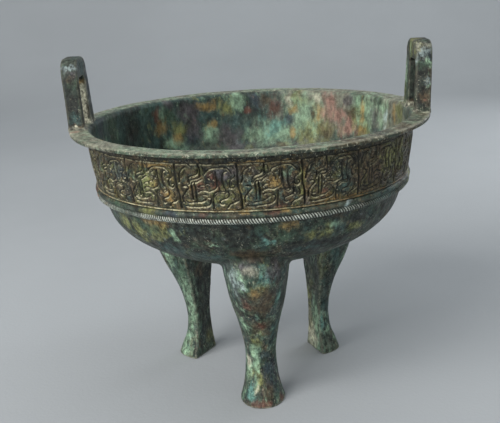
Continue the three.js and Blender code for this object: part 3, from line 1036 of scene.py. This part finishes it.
INSIDE_SPOTS = {
    # The two wide washes at azimuths 58 and 20 are painted light on the inside's right; the rim spots at the
    # front left are dust and painted light
    "dust": [(58, 174, 30, 24), (20, 176, 36, 22), (-160, 190, 9, 3, 120), (-140, 190, 14, 3, 118)],
    "skin": [(95, 152, 45, 14)],
    "olive": [(62, 158, 18, 11), (36, 172, 10, 12), (121, 165, 6, 6), (100, 180, 6, 7), (68, 183, 6, 6),
        (40, 168, 5, 6), (10, 180, 7, 10), (60, 153, 5, 4), (66, 155, 5, 5)],
    "mint": [(66, 172, 14, 14), (32, 178, 16, 12), (78, 156, 18, 9), (161, 173, 1, 4), (156, 174, 1.5, 8),
        (129, 181, 3, 6), (119, 152, 5, 4), (126, 156, 6, 4), (107, 160, 5, 7), (95, 182, 5, 7),
        (88, 155, 8, 7), (66, 171, 8, 11), (39, 182, 7, 6), (78, 155, 6, 6)],
    "blue": [(168, 184, 9, 7), (117, 156, 6, 6), (87, 182, 4, 6), (73, 168, 4, 6)],
    "moss": [(159, 180, 8, 14), (126, 175, 8, 7), (29, 186, 8, 2)],
    "teal": [(152, 179, 8, 12), (132, 187, 8, 4), (110, 174, 7, 6), (95, 164, 9, 9), (51, 154, 5, 4),
        (28, 165, 8, 3), (19, 180, 1.5, 9)],
    "dark": [(145, 173, 10, 13), (115, 177, 3, 8), (87, 172, 5, 8), (63, 174, 2, 5),
        (-47, 190, 10, 3, 121), (-24, 190, 10, 3, 120), (-78, 189, 6, 1.5, 125)],
    "rust": [(132, 176, 3, 8), (90, 175, 3, 3), (79, 177, 5, 8)],
    "ochre": [(130, 169, 5, 5), (123, 158, 5, 4), (108, 181, 8, 4), (106, 167, 3, 4), (71, 177, 4, 4),
        (60, 172, 5, 7), (37, 162, 4, 4), (37, 176, 2, 10), (15, 182, 3, 8), (71, 155, 2, 5)],
    "plum": [(126, 186, 6, 3), (117, 179, 8, 7), (115, 166, 6, 9), (99, 155, 9, 7), (45, 184, 5, 4),
        (30, 176, 6, 11)],
    "brown": [(83, 183, 5, 6), (55, 158, 6, 6), (44, 174, 5, 6), (-60, 190, 14, 3, 121),
        (-36, 190, 14, 3, 120), (-15, 190, 8, 3, 121)],
    "turquoise": [(80, 161, 7, 8)],
    "cream": [(73, 183, 3, 4), (60, 184, 4, 3), (-166, 190, 4, 2.5, 122), (-11, 190, 4, 3, 121)],
    "pink": [(54, 181, 7, 7), (54, 173, 6, 6), (49, 172, 7, 7), (45, 163, 7, 6),
        (-167.6, 190, 3.4, 2, 122)],
    "ice": [(22, 176, 2, 13)],
    "amber": [(-171, 190, 3, 2, 116)],
}
strew(INSIDE_SPOTS, ["teal", "moss", "plum", "mint", "ochre", "brown", "olive", "turquoise", "dark"], 70,
      (-175, 0), (108, 184), 81)
strew(INSIDE_SPOTS, ["teal", "moss", "brown", "mint", "olive", "plum", "turquoise"], 45,
      (0, 180), (100, 150), 82)

UNDERSIDE_FILMS = [
    Film("brown", 14, 0.52, 0.62, 0.45),
    Film("moss", 9, 0.48, 0.6, 0.6, 1.4),
    Film("teal", 11, 0.53, 0.63, 0.5),
    Film("olive", 6, 0.58, 0.68, 0.4, 1.4),
    Film("skin", 3, 0.55, 0.68, 0.7),
    Film("teal", 9, 0.45, 0.56, 0.7, 2.2, "legs"),
    Film("moss", 14, 0.48, 0.58, 0.6, 2, "legs"),
    Film("brown", 7, 0.55, 0.63, 0.75, 1.8, "legs"),
    Film("mint", 4, 0.53, 0.66, 0.6, 3, "legs"),
    Film("dark", 3.5, 0.59, 0.66, 0.5, 2, "legs"),
    Film("cream", 1.6, 0.59, 0.67, 0.6, 1.5, "legs"),
    Film("mint", 1.5, 0.63, 0.72, 0.5),
]
UNDERSIDE_SPOTS = {
    "olive": [(-129, 132, 5, 7), (-125, 134, 4, 5), (-138, 129, 6, 9), (-146, 134, 6, 7),
        (-63, 130, 5, 4), (-70, 130, 4, 4), (-51, 129, 6, 3)],
    "ochre": [(-127, 140, 9, 3), (-79, 139, 5, 3)],
    "mint": [(-120, 131, 2, 9), (-108, 129, 2.5, 1), (-105, 126, 3, 0.8), (-61, 134, 4, 3)],
    "moss": [(-133, 136, 9, 5), (-100, 113, 12, 4), (-88, 137, 4, 5), (-79, 131, 7, 7)],
    "ice": [(-102, 132, 1.5, 1)],
    "dark": [(-99, 129, 10, 7), (-111, 134, 10, 7), (-98, 137, 12, 5), (-73, 124, 8, 6),
        (-62, 121, 12, 5)],
    "teal": [(-126, 119, 10, 5), (-111, 114, 14, 4), (-88, 131, 3, 8), (-59, 132, 4, 6),
        (-70, 118, 10, 2)],
    "turquoise": [(-86, 128, 1.5, 10), (-83, 127, 1.2, 8)],
    "brown": [(-93, 117, 12, 4)],
}
strew(UNDERSIDE_SPOTS, ["teal", "moss", "brown", "olive", "mint", "dark", "turquoise"], 60,
      (-40, 215), (95, 140), 83)
LEG_SPOTS = {
    "plum": [(-95, 107, 4, 5, 91), (-83, 103, 6, 7, 89)],
    "mint": [(-99, 97, 5, 7, 87), (-100, 65, 3, 12, 68), (-94, 33, 3, 12, 63), (-98, 22, 3, 6, 62),
        (162, 84, 5, 10, 72), (161, 62, 5, 14, 59), (160, 46, 5, 14, 56), (158, 32, 5, 12, 56),
        (157, 14, 4, 10, 62), (161, 6, 8, 6, 64), (24, 25, 4, 16, 47), (29, 6, 9, 6, 50),
        (18, 16, 3, 4, 54)],
    "skin": [(-101, 90, 5, 14, 84), (19, 59, 6, 18, 47), (16, 7, 6, 6, 54), (36, 64, 6, 18, 47)],
    "ice": [(-98, 96, 2.5, 3, 88)],
    "turquoise": [(-87, 98, 5, 7, 91), (-81, 86, 2.5, 14, 79), (-97, 9, 3.5, 7, 67), (18, 27, 2, 7, 50)],
    "ochre": [(-91, 90, 5, 4, 88)],
    "olive": [(-89, 94, 5, 4, 89), (-93, 44, 4, 9, 66), (-94, 20, 4, 8, 64), (-94, 17, 3, 8, 66),
        (138, 14, 6, 8, 51), (13, 76, 4, 12, 47), (37, 42, 5, 12, 48), (36, 20, 6, 12, 48),
        (34, 54, 4, 14, 46)],
    "rust": [(-96, 80, 3.5, 5, 81), (-90, 61, 2.5, 6, 71), (-92, 2, 9, 2, 72), (-79, 2, 4, 3, 64)],
    "brown": [(-88, 80, 9, 14, 84), (-89, 61, 6, 11, 71), (-87, 9, 4, 5, 68), (150, 70, 4, 8, 49)],
    "mist": [(-101, 96, 4, 11, 85)],
    "dust": [(-93, 105, 6, 3, 92), (35, 28, 3, 14, 47)],
    # The dark spots at -77 on the front leg's right side and at 145 on the left leg's inner face are dark
    # patina and a painted shade, on sides turned from the light
    "dark": [(-77, 82, 6, 18, 73), (-98, 52, 3, 9, 66), (145, 50, 13, 48, 49), (15, 59, 5, 22, 55)],
    "teal": [(-84, 52, 4, 16, 66), (-100, 14, 4, 12, 67), (13, 81, 4, 7, 62), (16, 44, 4, 14, 52)],
    "cream": [(-99, 30, 2.2, 5, 60), (-94, 11, 1, 3.5, 67), (34, 9, 7, 10, 45)],
    "blue": [(-84, 22, 5, 12, 64)],
    "moss": [(166, 70, 6, 12, 60)],
}

BAND_FILMS = [
    Film("olive", 11, 0.48, 0.61, 0.42),
    Film("brown", 8, 0.46, 0.58, 0.75),
    Film("teal", 7, 0.54, 0.63, 0.6),
    Film("plum", 9, 0.56, 0.65, 0.5),
    Film("ochre", 4.5, 0.56, 0.66, 0.35),
    Film("amber", 3, 0.34, 0.54, 0.8, 1, "earth"),
    # Under the lip: dark as a painted shadow, with bronze and amber earth over it
    Film("dark", 6, 0.26, 0.42, 0.9, 1, "lip_shade"),
    Film("bronze", 3, 0.48, 0.6, 0.7, 1, "lip_shade"),
    Film("amber", 4, 0.54, 0.64, 0.35, 1, "lip_shade"),
    Film("dark", 2.6, 0.5, 0.6, 0.75),
    Film("cream", 1.4, 0.6, 0.7, 0.5),
]
BAND_SPOTS = {
    "ochre": [(-123, 179, 12, 1.5), (-83, 170, 3.5, 2.5), (-123, 167, 4, 3), (-66, 155, 4, 2),
        (-88, 182, 18, 0.8), (-118, 160, 4, 3)],
    "brown": [(-132, 181, 14, 4), (-46, 168, 17, 13)],
    "teal": [(-89, 158, 5, 4), (-60, 165, 5, 8), (-91, 167, 4, 5)],
    "rust": [(-107, 169, 3, 5), (-102, 172, 3, 3), (-101, 167, 3, 3), (-67, 158, 3, 3), (-82, 153, 4, 2)],
    "moss": [(-127, 169, 6, 5)],
    "blue": [(-139, 172, 6, 6)],
    "mint": [(-131, 172, 1.2, 3), (-79, 174, 2, 3)],
    "olive": [(-75, 165, 1.5, 13), (-30, 170, 3, 13), (-38, 172, 9, 8), (-125, 167, 6, 7)],
    "plum": [(-98, 175, 7, 4)],
}
strew(BAND_SPOTS, ["ochre", "teal", "rust", "plum", "olive", "moss", "mint"], 60, (-15, 195), (153, 184), 84)

MOULDING_FILMS = [
    Film("moss", 9, 0.48, 0.6, 0.6, 0.6),
    Film("brown", 7, 0.52, 0.63, 0.7, 0.6),
    Film("ochre", 4, 0.57, 0.67, 0.5, 0.6),
    Film("amber", 6, 0.38, 0.52, 0.7, 1, "line"),
    Film("mint", 1.5, 0.58, 0.7, 0.4),
]
MOULDING_SPOTS = {
    "moss": [(-142, 146, 11, 5), (-88, 150, 3, 2)],
    "olive": [(-128, 148, 5, 3)],
    "blue": [(-117, 149, 6, 2.5)],
    "rust": [(-106, 149, 3, 2), (-83, 149, 4, 2)],
    "ochre": [(-93, 150, 4, 2), (-80, 149, 3, 2)],
    "teal": [(-77, 149, 4, 2.5), (-40, 146, 14, 4)],
    "ice": [(-59, 148, 2.5, 2)],
    "brown": [(-65, 149, 6, 2)],
}
strew(MOULDING_SPOTS, ["ochre", "teal", "rust", "moss", "brown", "olive"], 40, (-25, 205), (144, 150), 85)

HANDLE_FILMS = [
    Film("brown", 9, 0.44, 0.56, 0.6, 1.4),
    Film("dark", 6, 0.42, 0.56, 0.85, 1.6),
    Film("moss", 6, 0.54, 0.63, 0.6, 1.6),
    Film("teal", 8, 0.56, 0.65, 0.5),
    Film("mint", 2.6, 0.62, 0.71, 0.5, 1.4),
    Film("cream", 1.5, 0.64, 0.73, 0.45),
    Film("cream", 2.2, 0.38, 0.6, 0.6, 1, "foot"),
]
RIGHT_HANDLE_SPOTS = {
    "skin": [(-8, 235, 9, 4, 120)],
    "dust": [(-8, 233, 6, 4, 120)],
    "olive": [(-6, 231, 3, 4, 117), (0, 232, 6, 7, 115), (8, 206, 4, 14, 113)],
    "mist": [(-9, 229, 5, 5, 122), (-7, 225, 3, 3, 118), (-9, 210, 2, 3, 123)],
    "blue": [(-8, 229, 1.5, 5, 126), (8, 228, 3.5, 6, 114)],
    "moss": [(-8, 221, 5, 3, 120), (-10, 191, 5, 2, 120), (6, 206, 6, 14, 113)],
    "mint": [(-8, 222, 1.5, 3, 125), (-9, 208, 1.2, 2, 124), (1, 230, 1.5, 5, 114), (8, 213, 5, 8, 113)],
    # The last dark spot lies on the slot's far wall: a painted shade inside the slot
    "dark": [(-8, 216, 5, 5, 120), (-9, 206, 5, 6, 120), (-10, 194, 5, 4, 120), (2.4, 206, 4.5, 19, 119)],
    "brown": [(-9, 200, 4, 4, 120), (3, 193, 4, 1.4, 116)],
    "rust": [(-9.5, 198, 1, 1.8, 122)],
    "cream": [(3, 190.8, 4, 1.2, 116)],
}
LEFT_HANDLE_SPOTS = {
    "skin": [(-175, 236, 8, 3.5, 121), (-172.5, 227, 6, 3, 121)],
    "moss": [(-173, 233, 4, 1, 124), (-171.5, 219, 4, 6, 120), (-171, 213, 1.2, 12, 116.5),
        (-171, 207, 1.4, 10, 116.5)],
    "mist": [(-172.5, 230.5, 7, 2, 121)],
    "plum": [(-172, 226, 3, 2, 120)],
    "brown": [(-172, 224, 3, 2, 123), (-170, 193, 5, 1.4, 118)],
    "dark": [(-171.5, 211, 9, 19, 122), (-171, 203, 8, 10, 121), (177.6, 224, 4, 2.5, 118),
        (173, 200, 5, 10, 113)],
    "teal": [(-170, 197, 4, 4, 120), (180, 230, 9, 9, 114)],
    "amber": [(-169, 191.6, 4, 0.8, 119)],
    "cream": [(-170, 190.5, 2.5, 1.2, 121), (177.6, 204, 5, 15, 118), (177.6, 192, 6, 3, 118)],
    "ochre": [(177.6, 219, 3.5, 3, 118)],
    "blue": [(172, 215, 5, 18, 114)],
}


class Nodes:
    """Makes shader nodes and joins them, so that a material reads as a list of layers."""

    def __init__(self, material):
        material.use_nodes = True
        self.tree = material.node_tree
        self.made = self.tree.nodes
        self.made.clear()

    def put(self, socket, value):
        if isinstance(value, bpy.types.NodeSocket):
            self.tree.links.new(value, socket)
        elif socket.type == "RGBA":
            socket.default_value = (*value, 1)
        else:
            socket.default_value = value

    def math(self, operation, a, b=0.0, c=0.0, clamp=False):
        node = self.made.new("ShaderNodeMath")
        node.operation = operation
        node.use_clamp = clamp
        for socket, value in zip(node.inputs, (a, b, c)):
            self.put(socket, value)
        return node.outputs[0]

    def noise(self, size, stretch=1.0, seed=0, detail=5.0, roughness=0.6, distortion=0.0):
        """Noise between 0 and 1 with features about size millimetres wide and stretch times as tall."""
        spread = self.made.new("ShaderNodeMapping")
        self.put(spread.inputs["Vector"], self.made.new("ShaderNodeTexCoord").outputs["Object"])
        spread.inputs["Location"].default_value = (3.7 * seed, 1.9 * seed, 5.3 * seed)
        each = 1 / (size * MM)
        spread.inputs["Scale"].default_value = (each, each, each / stretch)
        node = self.made.new("ShaderNodeTexNoise")
        self.put(node.inputs["Vector"], spread.outputs["Vector"])
        node.inputs["Scale"].default_value = 1
        node.inputs["Detail"].default_value = detail
        node.inputs["Roughness"].default_value = roughness
        node.inputs["Distortion"].default_value = distortion
        return node.outputs["Fac"]

    def span(self, value, low, high, to_low=0.0, to_high=1.0):
        node = self.made.new("ShaderNodeMapRange")
        node.interpolation_type = "SMOOTHSTEP"
        for label, number in zip(("Value", "From Min", "From Max", "To Min", "To Max"),
                                 (value, low, high, to_low, to_high)):
            self.put(node.inputs[label], number)
        return node.outputs["Result"]

    def blend(self, share, under, over, kind="MIX"):
        node = self.made.new("ShaderNodeMix")
        node.data_type = "RGBA"
        node.blend_type = kind
        self.put(node.inputs["Factor"], share)
        self.put(next(socket for socket in node.inputs if socket.identifier == "A_Color"), under)
        self.put(next(socket for socket in node.inputs if socket.identifier == "B_Color"), over)
        return next(socket for socket in node.outputs if socket.identifier == "Result_Color")

    def mark(self, name):
        node = self.made.new("ShaderNodeAttribute")
        node.attribute_name = name
        return node.outputs["Fac"]

    def finish(self, colour, roughness, height, depth):
        """The surface with a bump whose relief is about depth millimetres."""
        bump = self.made.new("ShaderNodeBump")
        bump.inputs["Strength"].default_value = 1
        bump.inputs["Distance"].default_value = depth * MM
        self.put(bump.inputs["Height"], height)
        surface = self.made.new("ShaderNodeBsdfPrincipled")
        self.put(surface.inputs["Base Color"], colour)
        self.put(surface.inputs["Roughness"], roughness)
        surface.inputs["Specular IOR Level"].default_value = 0.32
        self.put(surface.inputs["Normal"], bump.outputs["Normal"])
        output = self.made.new("ShaderNodeOutputMaterial")
        self.put(output.inputs["Surface"], surface.outputs["BSDF"])


BUMP_DEPTH = 0.34
STAIN_EDGE = 1.52


def patina_material(name, films, stains, grains=(), ground="skin", light_ground=0.6, softness=0.3,
                    hollow_share=0.85, ridge_share=0.6, ridge_shade="cream", least_wear_and_highlight=0.1, mottle=0.6,
                    mottle_size=4.5, grain=7, stain=0.8, streaks=0.15, specks=0.6):
    """Bronze with its films, the stains of the given shades, the grains on them, grime and a painted shade
    in the hollows, and wear and a painted highlight on the ridges, laid in that order."""
    material = bpy.data.materials.new(name)
    nodes = Nodes(material)
    patina = bpy.context.scene.ding.patina

    def colour_of(label):
        return tuple(getattr(patina, label))

    def laid_over(colour, film, seed):
        cover = nodes.noise(film.size, film.stretch, seed, 7, 0.66, 0.3)
        share = nodes.span(cover, film.low, film.high, 0, film.share)
        if film.zone:
            share = nodes.math("MULTIPLY", share, nodes.mark(film.zone))
        return nodes.blend(share, colour, colour_of(film.shade))

    broad = nodes.noise(24, 1.2, 1, 6, 0.65, 0.3)
    colour = nodes.blend(nodes.span(broad, 0.62 - light_ground * 0.25, 0.78 - light_ground * 0.25),
                         colour_of("dark"), colour_of(ground))
    for index, film in enumerate(films):
        colour = laid_over(colour, film, 5 + index)
    for index, label in enumerate(dict.fromkeys(stains)):
        ragged = nodes.noise(grain, 1.7, 30 + index, 7, 0.7, 0.3)
        near = nodes.math("MULTIPLY_ADD", ragged, 2.0, nodes.mark(f"{label}_spots"))
        share = nodes.span(near, STAIN_EDGE - softness, STAIN_EDGE + softness, 0, stain)
        colour = nodes.blend(share, colour, colour_of(label))
    for index, film in enumerate(grains):
        colour = laid_over(colour, film, 60 + index)
    mottled = nodes.noise(mottle_size, 1.3, 50, 8, 0.72)
    tone = nodes.span(mottled, 0.34, 0.66, 1 - mottle, 1 + 1.3 * mottle)
    colour = nodes.blend(1, colour, tone, "MULTIPLY")
    tone = nodes.span(nodes.noise(2.4, 7, 54, 3, 0.5), 0.35, 0.65, 1 - streaks, 1 + streaks)
    colour = nodes.blend(1, colour, tone, "MULTIPLY")
    fine = nodes.noise(1.1, 1, 55, 3, 0.6)
    strewn_over = nodes.span(nodes.noise(15, 1.2, 56, 3), 0.44, 0.6)
    lime = nodes.math("MULTIPLY", nodes.span(fine, 0.6, 0.7, 0, specks), strewn_over)
    colour = nodes.blend(lime, colour, colour_of("cream"))
    colour = nodes.blend(nodes.span(fine, 0.4, 0.3, 0, specks), colour, colour_of("dark"))
    # Painted shade and grime in the hollows
    hollow = nodes.math("MULTIPLY", nodes.mark("hollow"), hollow_share, clamp=True)
    colour = nodes.blend(hollow, colour, colour_of("dirt_and_shade"))
    # Wear on the ridges; on the band, the smooth band's line and the rope, also a painted highlight
    wear = nodes.span(nodes.noise(2.6, 1, 51, 4, 0.7), 0.38, 0.6, least_wear_and_highlight, ridge_share * 1.6)
    worn = nodes.math("MULTIPLY", nodes.mark("ridge"), wear, clamp=True)
    colour = nodes.blend(worn, colour, colour_of(ridge_shade))
    roughness = nodes.span(nodes.noise(8, 1, 52, 4), 0.35, 0.65, 0.38, 0.62)
    height = nodes.math("MULTIPLY_ADD", mottled, 1.2, nodes.noise(0.9, 1, 53, 4, 0.65))
    nodes.finish(colour, roughness, height, BUMP_DEPTH)
    return material


# The studio

class StudioSettings(bpy.types.PropertyGroup):
    """Camera, lights and floor"""

    lens: bpy.props.FloatProperty(
        name="Lens", description="Focal length over a 36 mm wide sensor, in millimetres", default=67.97)
    camera_distance: bpy.props.FloatProperty(
        name="Camera distance", description="In front of the bowl's axis", default=0.65638, unit="LENGTH")
    camera_height: bpy.props.FloatProperty(
        name="Camera height", description="Above the ground", default=0.30503, unit="LENGTH")
    camera_turn: bpy.props.FloatProperty(
        name="Camera turn", description="To the right of straight ahead", default=-0.0049087,
        unit="ROTATION")
    camera_dip: bpy.props.FloatProperty(
        name="Camera dip", description="Below the horizon", default=0.2748089, unit="ROTATION")
    camera_roll: bpy.props.FloatProperty(
        name="Camera roll", description="About the line of sight", default=-0.0554284, unit="ROTATION")
    floor_colour: bpy.props.FloatVectorProperty(
        name="Floor colour", description="The pale grey floor and backdrop", subtype="COLOR", size=3,
        default=(0.445, 0.470, 0.490))
    room_light: bpy.props.FloatProperty(
        name="Room light", description="Strength of the soft light from all round", default=0.255, min=0.0)


def camera_matrix(studio):
    yaw, pitch, roll = studio.camera_turn, studio.camera_dip, studio.camera_roll
    ahead = Vector((math.sin(yaw) * math.cos(pitch), math.cos(yaw) * math.cos(pitch), -math.sin(pitch)))
    right = Vector((math.cos(yaw), -math.sin(yaw), 0))
    up = right.cross(ahead)
    rolled_right = right * math.cos(roll) + up * math.sin(roll)
    rolled_up = up * math.cos(roll) - right * math.sin(roll)
    turned = Matrix((rolled_right, rolled_up, -ahead)).transposed().to_4x4()
    return Matrix.Translation((0, -studio.camera_distance, studio.camera_height)) @ turned


def add_camera(studio):
    data = bpy.data.cameras.new("photo_camera")
    data.sensor_width = 36
    data.lens = studio.lens
    data.clip_start = 0.01
    camera = bpy.data.objects.new("photo_camera", data)
    camera.matrix_world = camera_matrix(studio)
    bpy.context.scene.collection.objects.link(camera)
    bpy.context.scene.camera = camera


FLOOR_HALF = 3.0
SWEEP_START = 1.2
SWEEP_RADIUS = 0.8
BACKDROP_TOP = (2.05, 3.0)


def add_floor(studio):
    """A floor that sweeps up into a backdrop, in metres."""
    profile = [(-FLOOR_HALF, 0.0)] + [(y, 0.0) for y in np.linspace(-1.5, SWEEP_START, 4)]
    profile += [tuple(p) for p in arc((SWEEP_START, SWEEP_RADIUS), SWEEP_RADIUS, -90, -8, 14)]
    profile.append(BACKDROP_TOP)
    vertices = [(x, y, z) for x in (-FLOOR_HALF, FLOOR_HALF) for y, z in profile]
    count = len(profile)
    faces = [(i, i + count, i + count + 1, i + 1) for i in range(count - 1)]
    mesh = bpy.data.meshes.new("floor")
    mesh.from_pydata(vertices, [], faces)
    mesh.shade_smooth()
    material = bpy.data.materials.new("pale_cloth")
    nodes = Nodes(material)
    base = tuple(studio.floor_colour)
    cloud = nodes.span(nodes.noise(420, 1, 60, 4), 0.3, 0.7, 0, 0.5)
    colour = nodes.blend(cloud, base, tuple(c * 0.88 for c in base))
    nodes.finish(colour, 0.85, nodes.noise(3, 1, 61, 3), 0.2)
    mesh.materials.append(material)
    floor = bpy.data.objects.new("floor", mesh)
    bpy.context.scene.collection.objects.link(floor)


# Each light's name, place, target, size, power and colour
LIGHTS = [
    ("key", (-1.05, -1.1, 1.2), (0, 0, 0.12), (1.2, 1.2), 32, (1, 0.985, 0.96)),
    ("overhead", (0.2, 0.1, 2.1), (0.1, 0, 0), (1.8, 1.8), 7, (0.97, 0.99, 1)),
    ("backdrop", (0.9, 0.5, 1.5), (0.3, 2.0, 0.6), (1.4, 1.0), 7.3, (0.92, 0.97, 1)),
    ("back_low", (0.75, 0.75, 0.4), (0, -0.05, 0), (0.5, 0.4), 1.6, (0.96, 0.98, 1)),
    ("fill", (1.3, -1.1, 0.9), (0, 0, 0.12), (1.2, 1.2), 2, (0.95, 0.98, 1)),
    ("low_front", (-0.4, -2.0, 0.5), (0, -0.1, 0), (1.8, 0.8), 8, (0.98, 0.99, 1)),
]


def add_light(name, place, target, size, power, colour):
    """A soft rectangular light, its places and size in metres and its power in watts."""
    data = bpy.data.lights.new(name, "AREA")
    data.shape = "RECTANGLE"
    data.size, data.size_y = size
    data.energy = power
    data.color = colour
    light = bpy.data.objects.new(name, data)
    light.location = place
    light.rotation_euler = (Vector(target) - Vector(place)).to_track_quat("-Z", "Y").to_euler()
    bpy.context.scene.collection.objects.link(light)


def add_room_light(studio):
    world = bpy.data.worlds.new("soft_room")
    world.use_nodes = True
    sky = world.node_tree.nodes["Background"]
    sky.inputs["Color"].default_value = (0.93, 0.97, 1.0, 1)
    sky.inputs["Strength"].default_value = studio.room_light
    bpy.context.scene.world = world
    bpy.context.scene.view_settings.view_transform = "Standard"


# The operators, one for each piece or group of like pieces

class DING_OT_lining(bpy.types.Operator):
    """Turn the lining and the flat rim"""

    bl_idname = "ding.lining"
    bl_label = "Lining and Rim"

    def execute(self, context):
        piece = build_lining(patina_material("bronze_inside", INSIDE_FILMS, INSIDE_SPOTS, RIM_GRAINS,
                                             ground="sea", light_ground=0.8, softness=0.36, mottle=0.42,
                                             specks=0.2, streaks=0.12))
        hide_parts(NODE)
        return {"FINISHED"}


class DING_OT_cast(bpy.types.Operator):
    """Cast the round underside and the legs"""

    bl_idname = "ding.cast"
    bl_label = "Underside and Legs"

    def execute(self, context):
        build_cast(patina_material("bronze_underside", UNDERSIDE_FILMS, [*UNDERSIDE_SPOTS, *LEG_SPOTS],
                                   light_ground=0.1, softness=0.38, mottle=0.75, mottle_size=2.8, grain=5.5,
                                   specks=0.8))
        return {"FINISHED"}


class DING_OT_band(bpy.types.Operator):
    """Cut the coiled dragons of the pattern band"""

    bl_idname = "ding.band"
    bl_label = "Pattern Band"

    def execute(self, context):
        build_band(patina_material("bronze_band", BAND_FILMS, BAND_SPOTS, ground="bronze", light_ground=0.9,
                                   ridge_shade="gold", ridge_share=0.65, least_wear_and_highlight=0, mottle=0.85,
                                   hollow_share=0.95, mottle_size=2.2, grain=3.2, stain=0.65, streaks=0.05,
                                   specks=1))
        return {"FINISHED"}


class DING_OT_mouldings(bpy.types.Operator):
    """Lay the rope moulding and the smooth band"""

    bl_idname = "ding.mouldings"
    bl_label = "Mouldings"

    def execute(self, context):
        build_rope(patina_material("bronze_rope", MOULDING_FILMS, MOULDING_SPOTS, hollow_share=0.8,
                                   ridge_shade="lime", ridge_share=0.75, least_wear_and_highlight=0.3, streaks=0.05))
        build_smooth_band(patina_material("bronze_smooth_band", MOULDING_FILMS, MOULDING_SPOTS,
                                          light_ground=0.9, ridge_shade="gold", ridge_share=0.7,
                                          streaks=0.05))
        return {"FINISHED"}


class DING_OT_handles(bpy.types.Operator):
    """Stand the two handles on the rim"""

    bl_idname = "ding.handles"
    bl_label = "Handles"

    def execute(self, context):
        right = patina_material("bronze_right_handle", HANDLE_FILMS, RIGHT_HANDLE_SPOTS, ridge_share=0.35,
                                mottle=0.8, mottle_size=2.4, grain=2.4, specks=1)
        left = patina_material("bronze_left_handle", HANDLE_FILMS, LEFT_HANDLE_SPOTS, light_ground=0.3,
                               ridge_share=0.35, mottle=0.75, mottle_size=2.4, grain=2.8, specks=0.3)
        build_handle("handle_right", 0, 61, RIGHT_HANDLE_SPOTS, right)
        build_handle("handle_left", math.pi, 71, LEFT_HANDLE_SPOTS, left)
        return {"FINISHED"}


class DING_OT_stage(bpy.types.Operator):
    """Set the floor, the lights and the camera"""

    bl_idname = "ding.stage"
    bl_label = "Stage"

    def execute(self, context):
        studio = context.scene.ding.studio
        add_camera(studio)
        add_floor(studio)
        add_room_light(studio)
        for light in LIGHTS:
            add_light(*light)
        return {"FINISHED"}


class DingSettings(bpy.types.PropertyGroup):
    """Everything a user would change"""

    casting: bpy.props.PointerProperty(type=CastingSizes, name="Casting")
    patina: bpy.props.PointerProperty(type=PatinaShades, name="Patina")
    studio: bpy.props.PointerProperty(type=StudioSettings, name="Studio")


OPERATORS = (DING_OT_stage, DING_OT_lining, DING_OT_cast, DING_OT_band, DING_OT_mouldings, DING_OT_handles)


class DING_PT_panel(bpy.types.Panel):
    """Buttons that build the vessel's pieces and its stage"""

    bl_idname = "DING_PT_panel"
    bl_label = "Bronze Ding"
    bl_space_type = "VIEW_3D"
    bl_region_type = "UI"
    bl_category = "Ding"

    def draw(self, context):
        for operator in OPERATORS:
            self.layout.operator(operator.bl_idname)


CLASSES = (CastingSizes, PatinaShades, StudioSettings, DingSettings, *OPERATORS, DING_PT_panel)


def register():
    for cls in CLASSES:
        bpy.utils.register_class(cls)
    bpy.types.Scene.ding = bpy.props.PointerProperty(type=DingSettings)


def unregister():
    del bpy.types.Scene.ding
    for cls in reversed(CLASSES):
        bpy.utils.unregister_class(cls)


def main():
    register()
    bpy.ops.ding.stage()
    bpy.ops.ding.lining()
    bpy.ops.ding.cast()
    bpy.ops.ding.band()
    bpy.ops.ding.mouldings()
    bpy.ops.ding.handles()


if __name__ == "__main__":
    main()
